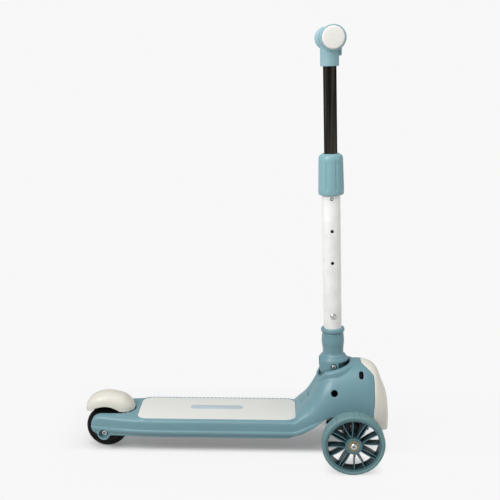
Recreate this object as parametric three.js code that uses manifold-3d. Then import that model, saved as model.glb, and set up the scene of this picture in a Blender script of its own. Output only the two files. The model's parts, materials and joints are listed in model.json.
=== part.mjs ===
import * as THREE from "three";
import { mergeVertices } from "three/addons/utils/BufferGeometryUtils.js";
import Module from "manifold-3d";

// Three wheel kids scooter. Millimetres, +X forward, +Y to the rider's left, +Z up.
// Origin on the floor under the middle of the scooter.

// Overall layout
const HALF_LENGTH = 304;
const CLEARANCE = 0.3;
const OVERRUN = 10;
const WELD = 1;
const SEAM_GAP = 0.5;
const MESH_TOLERANCE = 0.04;

// Front wheels
const FRONT_RADIUS = 60;
const FRONT_WIDTH = 29.5;
const FRONT_OUTER_FACE = 128;
const FRONT_OVERHANG = 76.5;
const TYRE_DEPTH = 8;
const TYRE_SHOULDER = 4;
const RIM_WALL = 3;
const RIM_WIDTH = 26;
const HUB_RADIUS = 16.5;
const HUB_WIDTH = 28;
const RIB_THICKNESS = 2;
const RIB_DEPTH = 22;
const TWIN_RIB_SPACING = 4.5;
const SPOKE_SETS = 4;
const SET_ANGLE = 30;
const FORK_SPREAD = 11.7;

// Bearings, 22 x 8 x 7
const BEARING_RADIUS = 11;
const BEARING_WIDTH = 7;
const AXLE_RADIUS = 4;
const SCREW_HEAD_RADIUS = 6.5;
const SCREW_HEAD_HEIGHT = 3.2;
const SOCKET_SHARE = 0.5;
const NUT_HEIGHT = 6;

// Rear wheel
const REAR_RADIUS = 42;
const REAR_WIDTH = 24;
const REAR_TYRE_DEPTH = 12;
const REAR_CROWN = 5;

// Deck and hood moulding
const DECK_TOP = 80;
const DECK_BOTTOM = 42;
const DECK_HALF_WIDTH = 62;
const HOOD_TOP = 187.5;
const HOOD_HALF_WIDTH = 67;
const HOOD_LENGTH = 190;
const HOOD_WALL = 3;
const CAVITY_SETBACK = 154;
const ARCH_TOP = 93;
const SIDE_LINE = 59;
const ARM_LENGTH = 72;
const RAMP_CHANNEL_RADIUS = 50;
const RAMP_CHANNEL_DEPTH = 4;
const WELL_HALF_WIDTH = 29;
const WELL_REACH = 59;
const AXLE_BOSS_RADIUS = 12.5;
const AXLE_RECESS_RADIUS = 9.5;
const AXLE_RECESS_DEPTH = 11;
const ARM_FACE = 47.5;
const WHEEL_GAP = 2;
const SEAM_SETBACK = 32;
const TONGUE_LENGTH = 24;
const TONGUE_HALF_WIDTH = 36;

// Deck pad and badge
const PAD_THICKNESS = 3;
const PAD_SEAT = 2.4;
const PAD_HALF_WIDTH = 54.5;
const PAD_CORNER = 21;
const PAD_REAR_REACH = 67;
const PAD_FRONT_SETBACK = 183.5;
const PAD_GAP = 0.4;
const BADGE_LENGTH = 106;
const BADGE_WIDTH = 20;
const BADGE_HEIGHT = 1;
const BADGE_REACH = 222.5;
const BADGE_OFFSET = 6;
const UNDERSIDE_THICKNESS = 3;
const UNDERSIDE_HALF_WIDTH = 50;
const UNDERSIDE_CORNER = 14;

// Stem
const STEM_SETBACK = 33.8;
const PIVOT_HEIGHT = 181;
const STEM_RAKE = 1.8;
const POCKET_RADIUS = 33;
const LIP_WIDTH = 6.5;
const LIP_HEIGHT = 11;
const LIP_SKIRT = 28;
const LIP_SINK = 3.5;
const LIP_TILT = 15;
const BASE_RADIUS = 30;
const BASE_DROP = 16;
const BASE_FRONT_RISE = 8;
const BASE_FRONT_STEP = 9;
const BARREL_RADIUS = 22.2;
const BASE_HEIGHT = 73.8;
const SOCKET_DEPTH = 34;
const TONGUE_THICKNESS = 22;
const LUG_RADIUS = 11;
const PIVOT_RADIUS = 4;
const FOLD_RECESS_DEPTH = 3.5;
const FOLD_HEAD_RADIUS = 5;
const FOLD_NUT_HEIGHT = 2.5;
const FOLD_NUT_RADIUS = 6;
const SPIGOT_TOP = 115;
const TUBE_RADIUS = 17.75;
const TUBE_WALL = 1.6;
const TUBE_TOP = 405;
const TUBE_SCREW_HEIGHT = 101;
const TUBE_SCREW_RADIUS = 2.5;
const TUBE_SCREW_HEAD = 5.9;
const HOLE_PITCH = 62.5;
const HOLE_COUNT = 3;
const HOLE_RADIUS = 3.3;
const COLLAR_BOTTOM = 339;
const COLLAR_HEIGHT = 78;
const COLLAR_RADIUS = 24.6;
const COLLAR_FLUTES = 8;
const FLUTE_ANGLE = 22.5;
const FLUTE_RADIUS = 4;
const FLUTE_DEPTH = 1;
const INNER_RADIUS = 12.5;
const INNER_WALL = 1.5;
const INNER_BOTTOM = 266;
const FOOT_HEIGHT = 14;
const FOOT_RIM = 4;
const BUSH_HEIGHT = 50;
const BUSH_SINK = 1;
const BUTTON_RISE = 66;
const BUTTON_RADIUS = 3;
const BUTTON_LENGTH = 9;
const BUTTON_FLANGE = 1;

// Handlebar
const BAR_HEIGHT = 629.6;
const BAR_HALF_WIDTH = 126;
const BAR_RADIUS = 11;
const HEAD_RADIUS = 17.45;
const HEAD_DROP = 51;
const HEAD_BARREL_RADIUS = 20;
const HEAD_BARREL_HALF = 28;
const HEAD_BOSS_RADIUS = 11;
const HEAD_BOSS_DROP = 21.5;
const HEAD_BOSS_REACH = 22;
const HEAD_GRIP_DEPTH = 24;
const GRIP_RADIUS = 16;
const GRIP_RIB = 1.2;
const GRIP_RIBS = 4;
const FLANGE_RADIUS = 22.4;
const FLANGE_WIDTH = 6;
const FLANGE_ROUND = 1;
const CAP_RADIUS = 20;
const CAP_DOME = 2;

// Front truck and lean steering
const ROLL_HEIGHT = 50;
const ROLL_PIN_RADIUS = 5;
const KINGPIN_SPACING = 84;
const KINGPIN_RADIUS = 4;
const BEAM_LENGTH = 29;
const BEAM_BOTTOM = 42;
const BEAM_TOP = 66;
const FORK_EAR = 6;
const FORK_MARGIN = 1;
const FORK_TOP = 80;
const FORK_BOTTOM = 40;
const FORK_ROOT = 14;
const KNUCKLE_RADIUS = 9;
const STEER_ARM = 18;
const AXLE_GRIP = 8.9;
const STEER_PIN_RADIUS = 3;
const ROD_HEIGHT = 77;
const ROD_THICKNESS = 6;
const ROD_WIDTH = 8;
const ROD_GAP = 1;
const GUIDE_RADIUS = 4;
const HANGER_THICKNESS = 8;
const HANGER_SPAN = 63;
const HANGER_EYE_RADIUS = 12;
const FLANGE_BOTTOM = 76;
const WING_BOTTOM = 106;
const SPIGOT_RADIUS = 5.5;
const SPIGOT_HEIGHT = 5;
const ROLL_HEAD_RADIUS = 8;
const BLOCK_HALF_WIDTH = 9;
const BLOCK_RISE = 11;
const HANGER_HALF_WIDTH = 18;
const HANGER_DROP = 12;
const WEB_HEIGHT = 112;
const WEB_THICKNESS = 6;
const WING_HALF_WIDTH = 50;
const WING_LENGTH = 26;
const FLANGE_THICKNESS = 5;
const FLANGE_HALF_WIDTH = 34;
const FLANGE_BOLT_LENGTH = 13.7;
const SPRING_OFFSET = 38;
const SPRING_RADIUS = 8;
const SPRING_WIRE = 1.5;
const SPRING_TURNS = 5;

// Fold lock
const LOCK_BAR_SETBACK = 52.8;
const LOCK_BAR_HALF = 33;
const LOCK_TAB_REACH = 39;
const LOCK_FINGER_REACH = 27.2;
const LOCK_SPRING_LENGTH = 12;
const LOCK_SPRING_RADIUS = 4;
const LOCK_WIRE = 0.7;
const LOCK_TURNS = 3;
const POST_HALF_WIDTH = 10;
const LOCK_HOOK_TOP = 8.5;
const LOCK_HOOK_HEIGHT = 4;
const LOCK_BAR_HEIGHT = 14.5;
const LOCK_TAB_HEIGHT = 8;
const LOCK_LUG_INNER = 12.5;
const LOCK_LUG_OUTER = 17;
const LOCK_LUG_REACH = 23;
const LOCK_LUG_DROP = 16;
const LOCK_PLATE = 3.5;
const SLOT_SETBACK = 57.5;
const SLOT_WIDTH = 8;
const SLOT_LENGTH = 17;
const SLOT_OFFSET = 43;
const SLOT_HEIGHT = 171;
const SLOT_LEAN = 45;
const PORT_RADIUS = 6.5;
const PORT_HEIGHT = 138;

// Rear brake
const FENDER_HALF_WIDTH = 26.5;
const FENDER_LENGTH = 97;
const FENDER_TOP = 116;
const FENDER_BOTTOM = 79.5;
const FENDER_CLEARANCE = 8;
const FENDER_ARCH_GAP = 2.5;
const BRAKE_PIN_SETBACK = 40;
const BRAKE_PIN_HEIGHT = 70;
const BRAKE_PIN_RADIUS = 2.5;
const BRAKE_PIN_HALF = 36;
const EAR_RADIUS = 6.5;
const EAR_OUTER = 22;
const EAR_THICKNESS = 5;
const SHOE_HALF_WIDTH = 9;
const SHOE_THICKNESS = 3.2;
const SHOE_ANGLE = 24;
const FENDER_POWER = 2.6;
const BRAKE_COIL_WIDTH = 8;
const BRAKE_WIRE = 0.9;
const BRAKE_TURNS = 3;

// Places worked out from the sizes
const rearAxleX = REAR_RADIUS - HALF_LENGTH;
const frontAxleX = HALF_LENGTH - FRONT_OVERHANG;
const stemX = frontAxleX - STEM_SETBACK;
const hoodStartX = HALF_LENGTH - HOOD_LENGTH;
const seamX = HALF_LENGTH - SEAM_SETBACK;
const cavityX = HALF_LENGTH - CAVITY_SETBACK;
const slotX = HALF_LENGTH - SLOT_SETBACK;
const brakePinX = rearAxleX + BRAKE_PIN_SETBACK;
const wheelMiddleY = FRONT_OUTER_FACE - FRONT_WIDTH / 2;

// Colours of the pieces
const finish = (color, roughness, metalness = 0) =>
  new THREE.MeshStandardMaterial({ color, roughness, metalness });
const blue = finish(0x86acba, 0.5);
const cream = finish(0xe4e0d6, 0.55);
const paleBlue = finish(0xb8cfd6, 0.5);
const black = finish(0x17181a, 0.6);
const blackPlastic = finish(0x1b1c1e, 0.5);
const blueRubber = finish(0x83a9b6, 0.85);
const wheelBlue = finish(0x577d88, 0.5);
const tyreBlue = finish(0x64909b, 0.6);
const white = finish(0xf0efec, 0.5);
const whitePaint = finish(0xe6e6e4, 0.35);
const darkChrome = finish(0x1c1a1a, 0.18, 0.9);
const steel = finish(0xb9bbbd, 0.3, 1);
const blackSteel = finish(0x26282b, 0.45, 0.6);

// Booleans on closed meshes
const wasm = await Module();
wasm.setup();

function solid(geometry) {
  const bare = geometry.clone();
  bare.deleteAttribute("normal");
  bare.deleteAttribute("uv");
  const merged = mergeVertices(bare);
  const index = merged.index.array;
  const triangles = [];
  for (let i = 0; i < index.length; i += 3) {
    const [a, b, c] = [index[i], index[i + 1], index[i + 2]];
    if (a !== b && b !== c && c !== a) triangles.push(a, b, c);
  }
  return new wasm.Manifold(new wasm.Mesh({
    numProp: 3,
    vertProperties: new Float32Array(merged.attributes.position.array),
    triVerts: new Uint32Array(triangles),
  }));
}

function surface(body) {
  const mesh = body.simplify(MESH_TOLERANCE).getMesh();
  const geometry = new THREE.BufferGeometry();
  geometry.setAttribute("position", new THREE.BufferAttribute(mesh.vertProperties, 3));
  geometry.setIndex(new THREE.BufferAttribute(mesh.triVerts, 1));
  geometry.computeVertexNormals();
  return geometry;
}

const joined = (...geometries) => surface(geometries.map(solid).reduce((all, one) => all.add(one)));
const cut = (geometry, ...tools) =>
  surface(tools.map(solid).reduce((rest, tool) => rest.subtract(tool), solid(geometry)));
const common = (a, b) => surface(solid(a).intersect(solid(b)));

// Shapes
const range = (count) => Array.from({ length: count }, (_, i) => i);
const mix = THREE.MathUtils.lerp;
const rad = THREE.MathUtils.degToRad;

function box(x0, x1, y0, y1, z0, z1) {
  const geometry = new THREE.BoxGeometry(x1 - x0, y1 - y0, z1 - z0);
  return geometry.translate((x0 + x1) / 2, (y0 + y1) / 2, (z0 + z1) / 2);
}

// Straight cylinders along one axis, from one place to another
function upright(radius, z0, z1, segments = 24, topRadius = radius) {
  const geometry = new THREE.CylinderGeometry(topRadius, radius, z1 - z0, segments);
  return geometry.rotateX(Math.PI / 2).translate(0, 0, (z0 + z1) / 2);
}

const along = (axis, radius, from, to, segments = 24, endRadius = radius) => {
  const geometry = upright(radius, from, to, segments, endRadius);
  return axis === "x" ? geometry.rotateY(Math.PI / 2) : geometry.rotateX(-Math.PI / 2);
};

// A lathe whose axis is Z, from [radius, height] pairs
function turned(profile, segments = 32) {
  const points = profile.map(([r, z]) => new THREE.Vector2(r, z));
  if (profile[0][0] > 0) points.push(points[0].clone());
  const geometry = new THREE.LatheGeometry(points, segments).rotateX(Math.PI / 2);
  return outward(geometry);
}

// Turns a closed mesh inside out when its faces point in
function outward(geometry) {
  const whole = geometry.index ? geometry.toNonIndexed() : geometry.clone();
  const p = whole.attributes.position;
  const [a, b, c] = [new THREE.Vector3(), new THREE.Vector3(), new THREE.Vector3()];
  let volume = 0;
  for (let i = 0; i < p.count; i += 3) {
    a.fromBufferAttribute(p, i);
    b.fromBufferAttribute(p, i + 1);
    c.fromBufferAttribute(p, i + 2);
    volume += a.dot(b.cross(c));
  }
  if (volume < 0) {
    for (let i = 0; i < p.count; i += 3) {
      b.fromBufferAttribute(p, i + 1);
      c.fromBufferAttribute(p, i + 2);
      p.setXYZ(i + 1, c.x, c.y, c.z);
      p.setXYZ(i + 2, b.x, b.y, b.z);
    }
  }
  whole.deleteAttribute("uv");
  whole.computeVertexNormals();
  return whole;
}

function outline(points) {
  return new THREE.Shape(points.map(([x, y]) => new THREE.Vector2(x, y)));
}

// A flat shape in the X-Y plane raised between two heights
function raised(shape, z0, z1, curveSegments = 6) {
  const geometry = new THREE.ExtrudeGeometry(shape, { depth: z1 - z0, bevelEnabled: false, curveSegments });
  return geometry.translate(0, 0, z0);
}

// A side outline in the X-Z plane spread between two places on Y
function sideways(shape, y0, y1, curveSegments = 6) {
  const geometry = new THREE.ExtrudeGeometry(shape, { depth: y1 - y0, bevelEnabled: false, curveSegments });
  return geometry.rotateX(Math.PI / 2).translate(0, y1, 0);
}

function roundedShape(x0, x1, y0, y1, r) {
  const shape = new THREE.Shape();
  shape.moveTo(x0 + r, y0);
  shape.lineTo(x1 - r, y0);
  shape.absarc(x1 - r, y0 + r, r, -Math.PI / 2, 0, false);
  shape.lineTo(x1, y1 - r);
  shape.absarc(x1 - r, y1 - r, r, 0, Math.PI / 2, false);
  shape.lineTo(x0 + r, y1);
  shape.absarc(x0 + r, y1 - r, r, Math.PI / 2, Math.PI, false);
  shape.lineTo(x0, y0 + r);
  shape.absarc(x0 + r, y0 + r, r, Math.PI, Math.PI * 1.5, false);
  return shape;
}

// A skin over rings of equally many points, closed by a flat face at each end
function loft(rings) {
  const count = rings[0].length;
  const positions = rings.flat().flatMap((p) => [p.x, p.y, p.z]);
  const index = [];
  for (let r = 0; r < rings.length - 1; r++) {
    for (let i = 0; i < count; i++) {
      const a = r * count + i;
      const b = r * count + ((i + 1) % count);
      index.push(a, b, a + count, b, b + count, a + count);
    }
  }
  const last = count * (rings.length - 1);
  for (const [ring, start, flip] of [[rings[0], 0, false], [rings.at(-1), last, true]]) {
    const flat = ring.map((p) => new THREE.Vector2(p.y, p.z));
    for (const [i, j, k] of THREE.ShapeUtils.triangulateShape(flat, [])) {
      index.push(start + i, start + (flip ? k : j), start + (flip ? j : k));
    }
  }
  const geometry = new THREE.BufferGeometry();
  geometry.setAttribute("position", new THREE.Float32BufferAttribute(positions, 3));
  geometry.setIndex(index);
  return outward(geometry);
}

// One unbroken wire along a curve
function wire(curve, radius, steps, sides = 6) {
  const circle = new THREE.Shape(range(sides).map((i) => {
    const a = (i * Math.PI * 2) / sides;
    return new THREE.Vector2(radius * Math.cos(a), radius * Math.sin(a));
  }));
  return outward(new THREE.ExtrudeGeometry(circle, { steps, bevelEnabled: false, extrudePath: curve }));
}

class Coil extends THREE.Curve {
  constructor(radius, height, turns) {
    super();
    Object.assign(this, { radius, height, turns });
  }

  getPoint(t, target = new THREE.Vector3()) {
    const a = t * this.turns * Math.PI * 2;
    return target.set(this.radius * Math.cos(a), this.radius * Math.sin(a), this.height * t);
  }
}

const scooter = new THREE.Group();

function piece(name, geometry, material, parent = scooter) {
  const mesh = new THREE.Mesh(surface(solid(geometry)), material);
  mesh.name = name;
  parent.add(mesh);
  return mesh;
}

function groupAt(parent, x, y, z, rake = 0) {
  const group = new THREE.Group();
  group.position.set(x, y, z);
  group.rotation.y = rad(rake);
  parent.add(group);
  return group;
}

const sides = [["left", 1], ["right", -1]];
const perSide = (make) => sides.map(([, side]) => make(side));

// A span on Y from an inner to an outer place, on the left or mirrored to the right
const span = (side, inner, outer) => (side > 0 ? [inner, outer] : [-outer, -inner]);

// An outline in the Y-Z plane carried forward between two places on X
function forward(shape, x0, x1, curveSegments = 6) {
  const geometry = new THREE.ExtrudeGeometry(shape, { depth: x1 - x0, bevelEnabled: false, curveSegments });
  return geometry.rotateY(Math.PI / 2).rotateX(Math.PI / 2).translate(x0, 0, 0);
}

// Deck and hood: one skin over cross sections, each a rounded crown on straight skirts
const CROWN_STEPS = 7;
const DECK_POWER = 8;
const HOOD_POWER = 2.3;
const skirtShares = [[1.03, 0.82], [1.03, 0.56], [0.955, 0.42], [0.93, 0]];

// Rear arms and deck: place along the arm, top, lift of the bottom, half width
const armShares = [
  [-0.354, 0.526, 0.263, 0.71], [-0.333, 0.684, 0.158, 0.72], [-0.278, 0.855, 0.066, 0.735],
  [-0.194, 0.953, -0.026, 0.75], [-0.083, 1, -0.066, 0.762], [0.097, 1, -0.066, 0.8],
  [0.375, 1, -0.04, 0.86], [0.653, 1, -0.013, 0.92], [1, 1, 0, 0.968], [1.56, 1, 0, 1],
];

// Hood: place, rise, change from deck to hood, change of crown, half width, side line, lift of the bottom
const hoodShares = [
  [-0.074, 0, 0, 0, 1, 1, 0], [0, 0, 0, 0.06, 1, 1, 0], [0.021, 0.01, 0.03, 0.2, 1, 1, 0],
  [0.047, 0.06, 0.08, 0.45, 1, 1, 0], [0.074, 0.13, 0.15, 0.65, 1, 1, 0],
  [0.111, 0.245, 0.26, 0.8, 1, 1, 0], [0.147, 0.36, 0.38, 0.9, 1, 1, 0],
  [0.189, 0.5, 0.5, 0.96, 1, 1, 0], [0.221, 0.615, 0.6, 1, 1, 1, 0], [0.253, 0.72, 0.7, 1, 1, 1, 0],
  [0.284, 0.8, 0.78, 1, 1, 1, 0], [0.332, 0.87, 0.9, 1, 1, 1, 0], [0.4, 0.935, 1, 1, 1, 1, 0],
  [0.489, 0.975, 1, 1, 1, 1, 0], [0.584, 0.995, 1, 1, 1, 1, 0], [0.679, 1, 1, 1, 1, 1, 0],
  [0.742, 0.987, 1, 1, 1, 1, 0], [0.795, 0.958, 1, 1, 0.985, 1, 0.3], [0.847, 0.898, 1, 1, 0.95, 1, 0.48],
  [0.884, 0.81, 1, 1, 0.895, 1, 0.5], [0.916, 0.67, 1, 1, 0.843, 1, 0.48],
  [0.942, 0.555, 1, 1, 0.776, 1, 0.45], [0.963, 0.475, 1, 1, 0.7, 0.92, 0.41],
  [0.979, 0.37, 1, 1, 0.61, 0.84, 0.37], [0.989, 0.2, 1, 1, 0.49, 0.72, 0.34],
  [0.997, 0.05, 1, 1, 0.36, 0.6, 0.36], [1, -0.037, 1, 1, 0.27, 0.5, 0.42],
];

function section(x, top, side, bottom, half, power, drop = 0) {
  const flank = range(CROWN_STEPS).map((i) => {
    const a = ((i + 1) / CROWN_STEPS) * (Math.PI / 2);
    return [half * Math.sin(a) ** (2 / power), side + (top - side) * Math.max(Math.cos(a), 0) ** (2 / power)];
  });
  flank.at(-1)[1] = side;
  skirtShares.forEach(([out, up]) => flank.push([half * out, mix(bottom, side, up)]));
  flank.at(-1)[1] -= drop;
  const mirrored = [...flank].reverse();
  return [
    new THREE.Vector3(x, 0, top),
    ...flank.map(([y, z]) => new THREE.Vector3(x, y, z)),
    ...mirrored.map(([y, z]) => new THREE.Vector3(x, -y, z)),
  ];
}

const deckThickness = DECK_TOP - DECK_BOTTOM;
const armRings = armShares.map(([along, top, lift, half]) => section(
  rearAxleX + ARM_LENGTH * along,
  mix(DECK_BOTTOM, DECK_TOP, top),
  SIDE_LINE,
  DECK_BOTTOM + deckThickness * lift,
  DECK_HALF_WIDTH * half,
  DECK_POWER,
));

function hoodRing([place, rise, change, crown, half, line, lift], inset = 0) {
  const nose = place > hoodShares.at(-9)[0] ? inset : 0;
  return section(
    hoodStartX + HOOD_LENGTH * place - nose,
    mix(DECK_TOP, HOOD_TOP, rise) - inset,
    mix(DECK_BOTTOM, mix(SIDE_LINE, ARCH_TOP, change), line),
    DECK_BOTTOM + deckThickness * lift,
    mix(DECK_HALF_WIDTH, HOOD_HALF_WIDTH, change) * half - inset,
    mix(DECK_POWER, HOOD_POWER, crown),
    inset > 0 ? OVERRUN * 2 : 0,
  );
}

const hull = loft([...armRings, ...hoodShares.map((row) => hoodRing(row))]);
// Shallow channel up the ramp in front of the deck, in line with the folded stem
function rampChannel(wall = 0) {
  const foot = new THREE.Vector2(hoodStartX + HOOD_LENGTH * 0.074, mix(DECK_TOP, HOOD_TOP, 0.13));
  const head = new THREE.Vector2(hoodStartX + HOOD_LENGTH * 0.3, mix(DECK_TOP, HOOD_TOP, 0.84));
  const slope = head.clone().sub(foot);
  const lift = slope.clone().normalize().rotateAround(new THREE.Vector2(), Math.PI / 2);
  const start = foot.add(lift.multiplyScalar(RAMP_CHANNEL_RADIUS - RAMP_CHANNEL_DEPTH));
  const channel = along("x", RAMP_CHANNEL_RADIUS + wall, 0, slope.length(), 48);
  return channel.rotateY(-slope.angle()).translate(start.x, 0, start.y);
}

// Room for the folded stem behind the pocket
const foldRadius = BARREL_RADIUS + WHEEL_GAP;
const foldChannel = (wall = 0) =>
  along("x", foldRadius + wall, hoodStartX, stemX, 24).translate(0, 0, PIVOT_HEIGHT);

const cavity = cut(
  common(
    loft(hoodShares.filter(([place]) => place > 0.12).map((row) => hoodRing(row, HOOD_WALL))),
    box(cavityX, HALF_LENGTH, -HOOD_HALF_WIDTH, HOOD_HALF_WIDTH, -OVERRUN, HOOD_TOP),
  ),
  rampChannel(HOOD_WALL),
  foldChannel(HOOD_WALL),
);

// The front cover meets the hood on a straight side seam with a tongue over the crown
function coverPlan(gap) {
  const side = HOOD_HALF_WIDTH + OVERRUN;
  const tongueShares = [[1, 0.28], [0.79, 0.56], [0.33, 0.86], [0.04, 1]];
  const half = tongueShares.map(([back, out]) =>
    [seamX - TONGUE_LENGTH * back - gap, TONGUE_HALF_WIDTH * out]);
  half.push([seamX - gap, TONGUE_HALF_WIDTH + OVERRUN], [seamX - gap, side], [HALF_LENGTH + OVERRUN, side]);
  const other = [...half].reverse().map(([x, y]) => [x, -y]);
  return raised(outline([...half, ...other]), -OVERRUN, HOOD_TOP + OVERRUN);
}

// The skirt rises from the deck over the front axle: place along the hood, height up to the arch
const archShares = [
  [-0.11, -0.3], [-0.074, 0.02], [-0.032, 0.09], [0.032, 0.17], [0.092, 0.26], [0.153, 0.41],
  [0.214, 0.59], [0.274, 0.745], [0.337, 0.88], [0.397, 0.957], [0.479, 0.99], [0.558, 1],
  [0.779, 1], [0.805, 0.97], [0.821, 0.9],
];
function archCut() {
  const top = archShares.map(([place, up]) =>
    [hoodStartX + HOOD_LENGTH * place, mix(DECK_BOTTOM, ARCH_TOP, up)]);
  const under = -OVERRUN;
  const end = [[seamX, mix(DECK_BOTTOM, ARCH_TOP, archShares.at(-1)[1])], [seamX, under], [top[0][0], under]];
  return sideways(outline([...top, ...end]), -HOOD_HALF_WIDTH - OVERRUN, HOOD_HALF_WIDTH + OVERRUN);
}

// Seat of the fender between the rear arms, with a round front end
function wellCut() {
  const centre = rearAxleX + WELL_REACH - WELL_HALF_WIDTH;
  const shape = new THREE.Shape();
  shape.moveTo(-HALF_LENGTH - OVERRUN, -WELL_HALF_WIDTH);
  shape.lineTo(centre, -WELL_HALF_WIDTH);
  shape.absarc(centre, 0, WELL_HALF_WIDTH, -Math.PI / 2, Math.PI / 2, false);
  shape.lineTo(-HALF_LENGTH - OVERRUN, WELL_HALF_WIDTH);
  return raised(shape, -OVERRUN, DECK_TOP + OVERRUN, 10);
}

const padRear = rearAxleX + PAD_REAR_REACH;
const padFront = HALF_LENGTH - PAD_FRONT_SETBACK;
const padFloor = DECK_TOP - PAD_SEAT;
const padTop = padFloor + CLEARANCE + PAD_THICKNESS;
const padShape = (gap) =>
  roundedShape(padRear + gap, padFront - gap, gap - PAD_HALF_WIDTH, PAD_HALF_WIDTH - gap, PAD_CORNER - gap);
const undersideShape = (gap) => roundedShape(
  padRear + gap,
  hoodStartX - OVERRUN * 2 - gap,
  gap - UNDERSIDE_HALF_WIDTH,
  UNDERSIDE_HALF_WIDTH - gap,
  UNDERSIDE_CORNER - gap,
);
const undersideSeat = DECK_BOTTOM + UNDERSIDE_THICKNESS + CLEARANCE;

// Lip round the stem pocket, leaning up to the front, with a round outer edge
function pocketLip() {
  const outer = POCKET_RADIUS + LIP_WIDTH;
  const inner = POCKET_RADIUS - LIP_WIDTH / 2;
  const round = LIP_WIDTH * 0.4;
  const ring = turned([
    [inner, -LIP_HEIGHT], [outer - round, -LIP_HEIGHT], [outer, -round * 2], [outer, -round],
    [outer - round * 0.3, -round * 0.3], [outer - round, 0], [inner, 0],
  ], 32);
  const skirt = cut(
    turned([[inner, -LIP_SKIRT], [outer - round, -LIP_SKIRT], [outer - round, -round], [inner, -round]], 32),
    box(0, outer, -outer, outer, -LIP_SKIRT - OVERRUN, OVERRUN),
  );
  return joined(ring, skirt).rotateY(-rad(LIP_TILT)).translate(stemX, 0, PIVOT_HEIGHT - LIP_SINK);
}

// Finger slot of the fold lock, square to the shoulder of the hood
function lockSlot(side) {
  const [wide, long] = [SLOT_WIDTH / 2, SLOT_LENGTH / 2];
  const slot = roundedShape(-wide, wide, -long, long, SLOT_WIDTH * 0.45);
  const prism = raised(slot, -OVERRUN, OVERRUN, 4);
  return prism.rotateX(-side * rad(SLOT_LEAN)).translate(slotX, side * SLOT_OFFSET, SLOT_HEIGHT);
}

const recessFloor = ARM_FACE - AXLE_RECESS_DEPTH;
const hubHalfRear = REAR_WIDTH / 2 + WHEEL_GAP;
const boltShank = AXLE_RADIUS + CLEARANCE;
const flangeBoltZ = mix(DECK_TOP, WEB_HEIGHT, 0.4);
const flangeBoltY = FLANGE_HALF_WIDTH - SCREW_HEAD_RADIUS - WHEEL_GAP;

function buildBody() {
  const bosses = perSide((side) =>
    along("y", AXLE_BOSS_RADIUS, ...span(side, hubHalfRear + CLEARANCE, ARM_FACE), 24)
      .translate(rearAxleX, 0, REAR_RADIUS));
  const shell = cut(
    hull, cavity, coverPlan(SEAM_GAP), archCut(), wellCut(),
    raised(padShape(0), padFloor, DECK_TOP + OVERRUN),
    raised(undersideShape(0), -OVERRUN, undersideSeat),
  );
  return cut(
    joined(shell, pocketLip(), ...bosses),
    upright(POCKET_RADIUS, PIVOT_HEIGHT - POCKET_RADIUS, HOOD_TOP + OVERRUN, 32).translate(stemX, 0, 0),
    foldChannel(),
    rampChannel(),
    along("y", boltShank, -ARM_FACE, ARM_FACE, 16).translate(rearAxleX, 0, REAR_RADIUS),
    ...perSide((side) => along("y", AXLE_RECESS_RADIUS, ...span(side, recessFloor, DECK_HALF_WIDTH), 20)
      .translate(rearAxleX, 0, REAR_RADIUS)),
    along("y", BRAKE_PIN_RADIUS + CLEARANCE, -BRAKE_PIN_HALF - CLEARANCE, BRAKE_PIN_HALF + CLEARANCE, 12)
      .translate(brakePinX, 0, BRAKE_PIN_HEIGHT),
    ...perSide(lockSlot),
    ...perSide((side) =>
      along("y", PORT_RADIUS, ...span(side, HOOD_HALF_WIDTH * 0.7, HOOD_HALF_WIDTH + OVERRUN), 20)
        .translate(stemX, 0, PORT_HEIGHT)),
    ...perSide((side) => along("x", boltShank, cavityX - FLANGE_BOLT_LENGTH - CLEARANCE, cavityX + OVERRUN, 12)
      .translate(0, side * flangeBoltY, flangeBoltZ)),
  );
}

piece("deck_body", buildBody(), blue);
piece("front_cover", common(cut(hull, cavity), coverPlan(0)), cream);
piece(
  "underside_cover",
  raised(undersideShape(CLEARANCE), DECK_BOTTOM, DECK_BOTTOM + UNDERSIDE_THICKNESS),
  blackPlastic,
);

// Deck pad with its badge
const badgeX = rearAxleX + BADGE_REACH;
const badgeShape = (gap) => roundedShape(
  badgeX - BADGE_LENGTH / 2 + gap,
  badgeX + BADGE_LENGTH / 2 - gap,
  BADGE_OFFSET - BADGE_WIDTH / 2 + gap,
  BADGE_OFFSET + BADGE_WIDTH / 2 - gap,
  BADGE_WIDTH / 2 - gap * 2,
);
const badgeFloor = padTop - BADGE_HEIGHT + CLEARANCE;
piece("deck_pad", cut(
  raised(padShape(PAD_GAP), padFloor + CLEARANCE, padTop),
  raised(badgeShape(0), badgeFloor - CLEARANCE, padTop + OVERRUN),
), cream);
piece("deck_badge", raised(badgeShape(CLEARANCE), badgeFloor, badgeFloor + BADGE_HEIGHT), paleBlue);

// A bolt along Z: shank from zero up, button head below it with a hexagon socket
function bolt(radius, length, headRadius, headHeight, segments = 12) {
  const body = turned([
    [0, -headHeight], [headRadius * 0.7, -headHeight], [headRadius, -headHeight * 0.4], [headRadius, 0],
    [radius, 0], [radius, length], [0, length],
  ], segments);
  return cut(body, upright(headRadius * SOCKET_SHARE, -headHeight * 2, -headHeight * 0.35, 6));
}
const nut = (bore, radius, height) =>
  cut(upright(radius, 0, height, 6), upright(bore, -OVERRUN, height + OVERRUN, 12));

// Lays a piece made along Z onto Y, with zero at a place on Y and its length towards +Y or -Y
const quarter = (towards) => (towards > 0 ? Math.PI / 2 : -Math.PI / 2);
const onY = (geometry, y, towards) => geometry.rotateX(-quarter(towards)).translate(0, y, 0);
const onX = (geometry, x, towards) => geometry.rotateY(quarter(towards)).translate(x, 0, 0);

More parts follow.
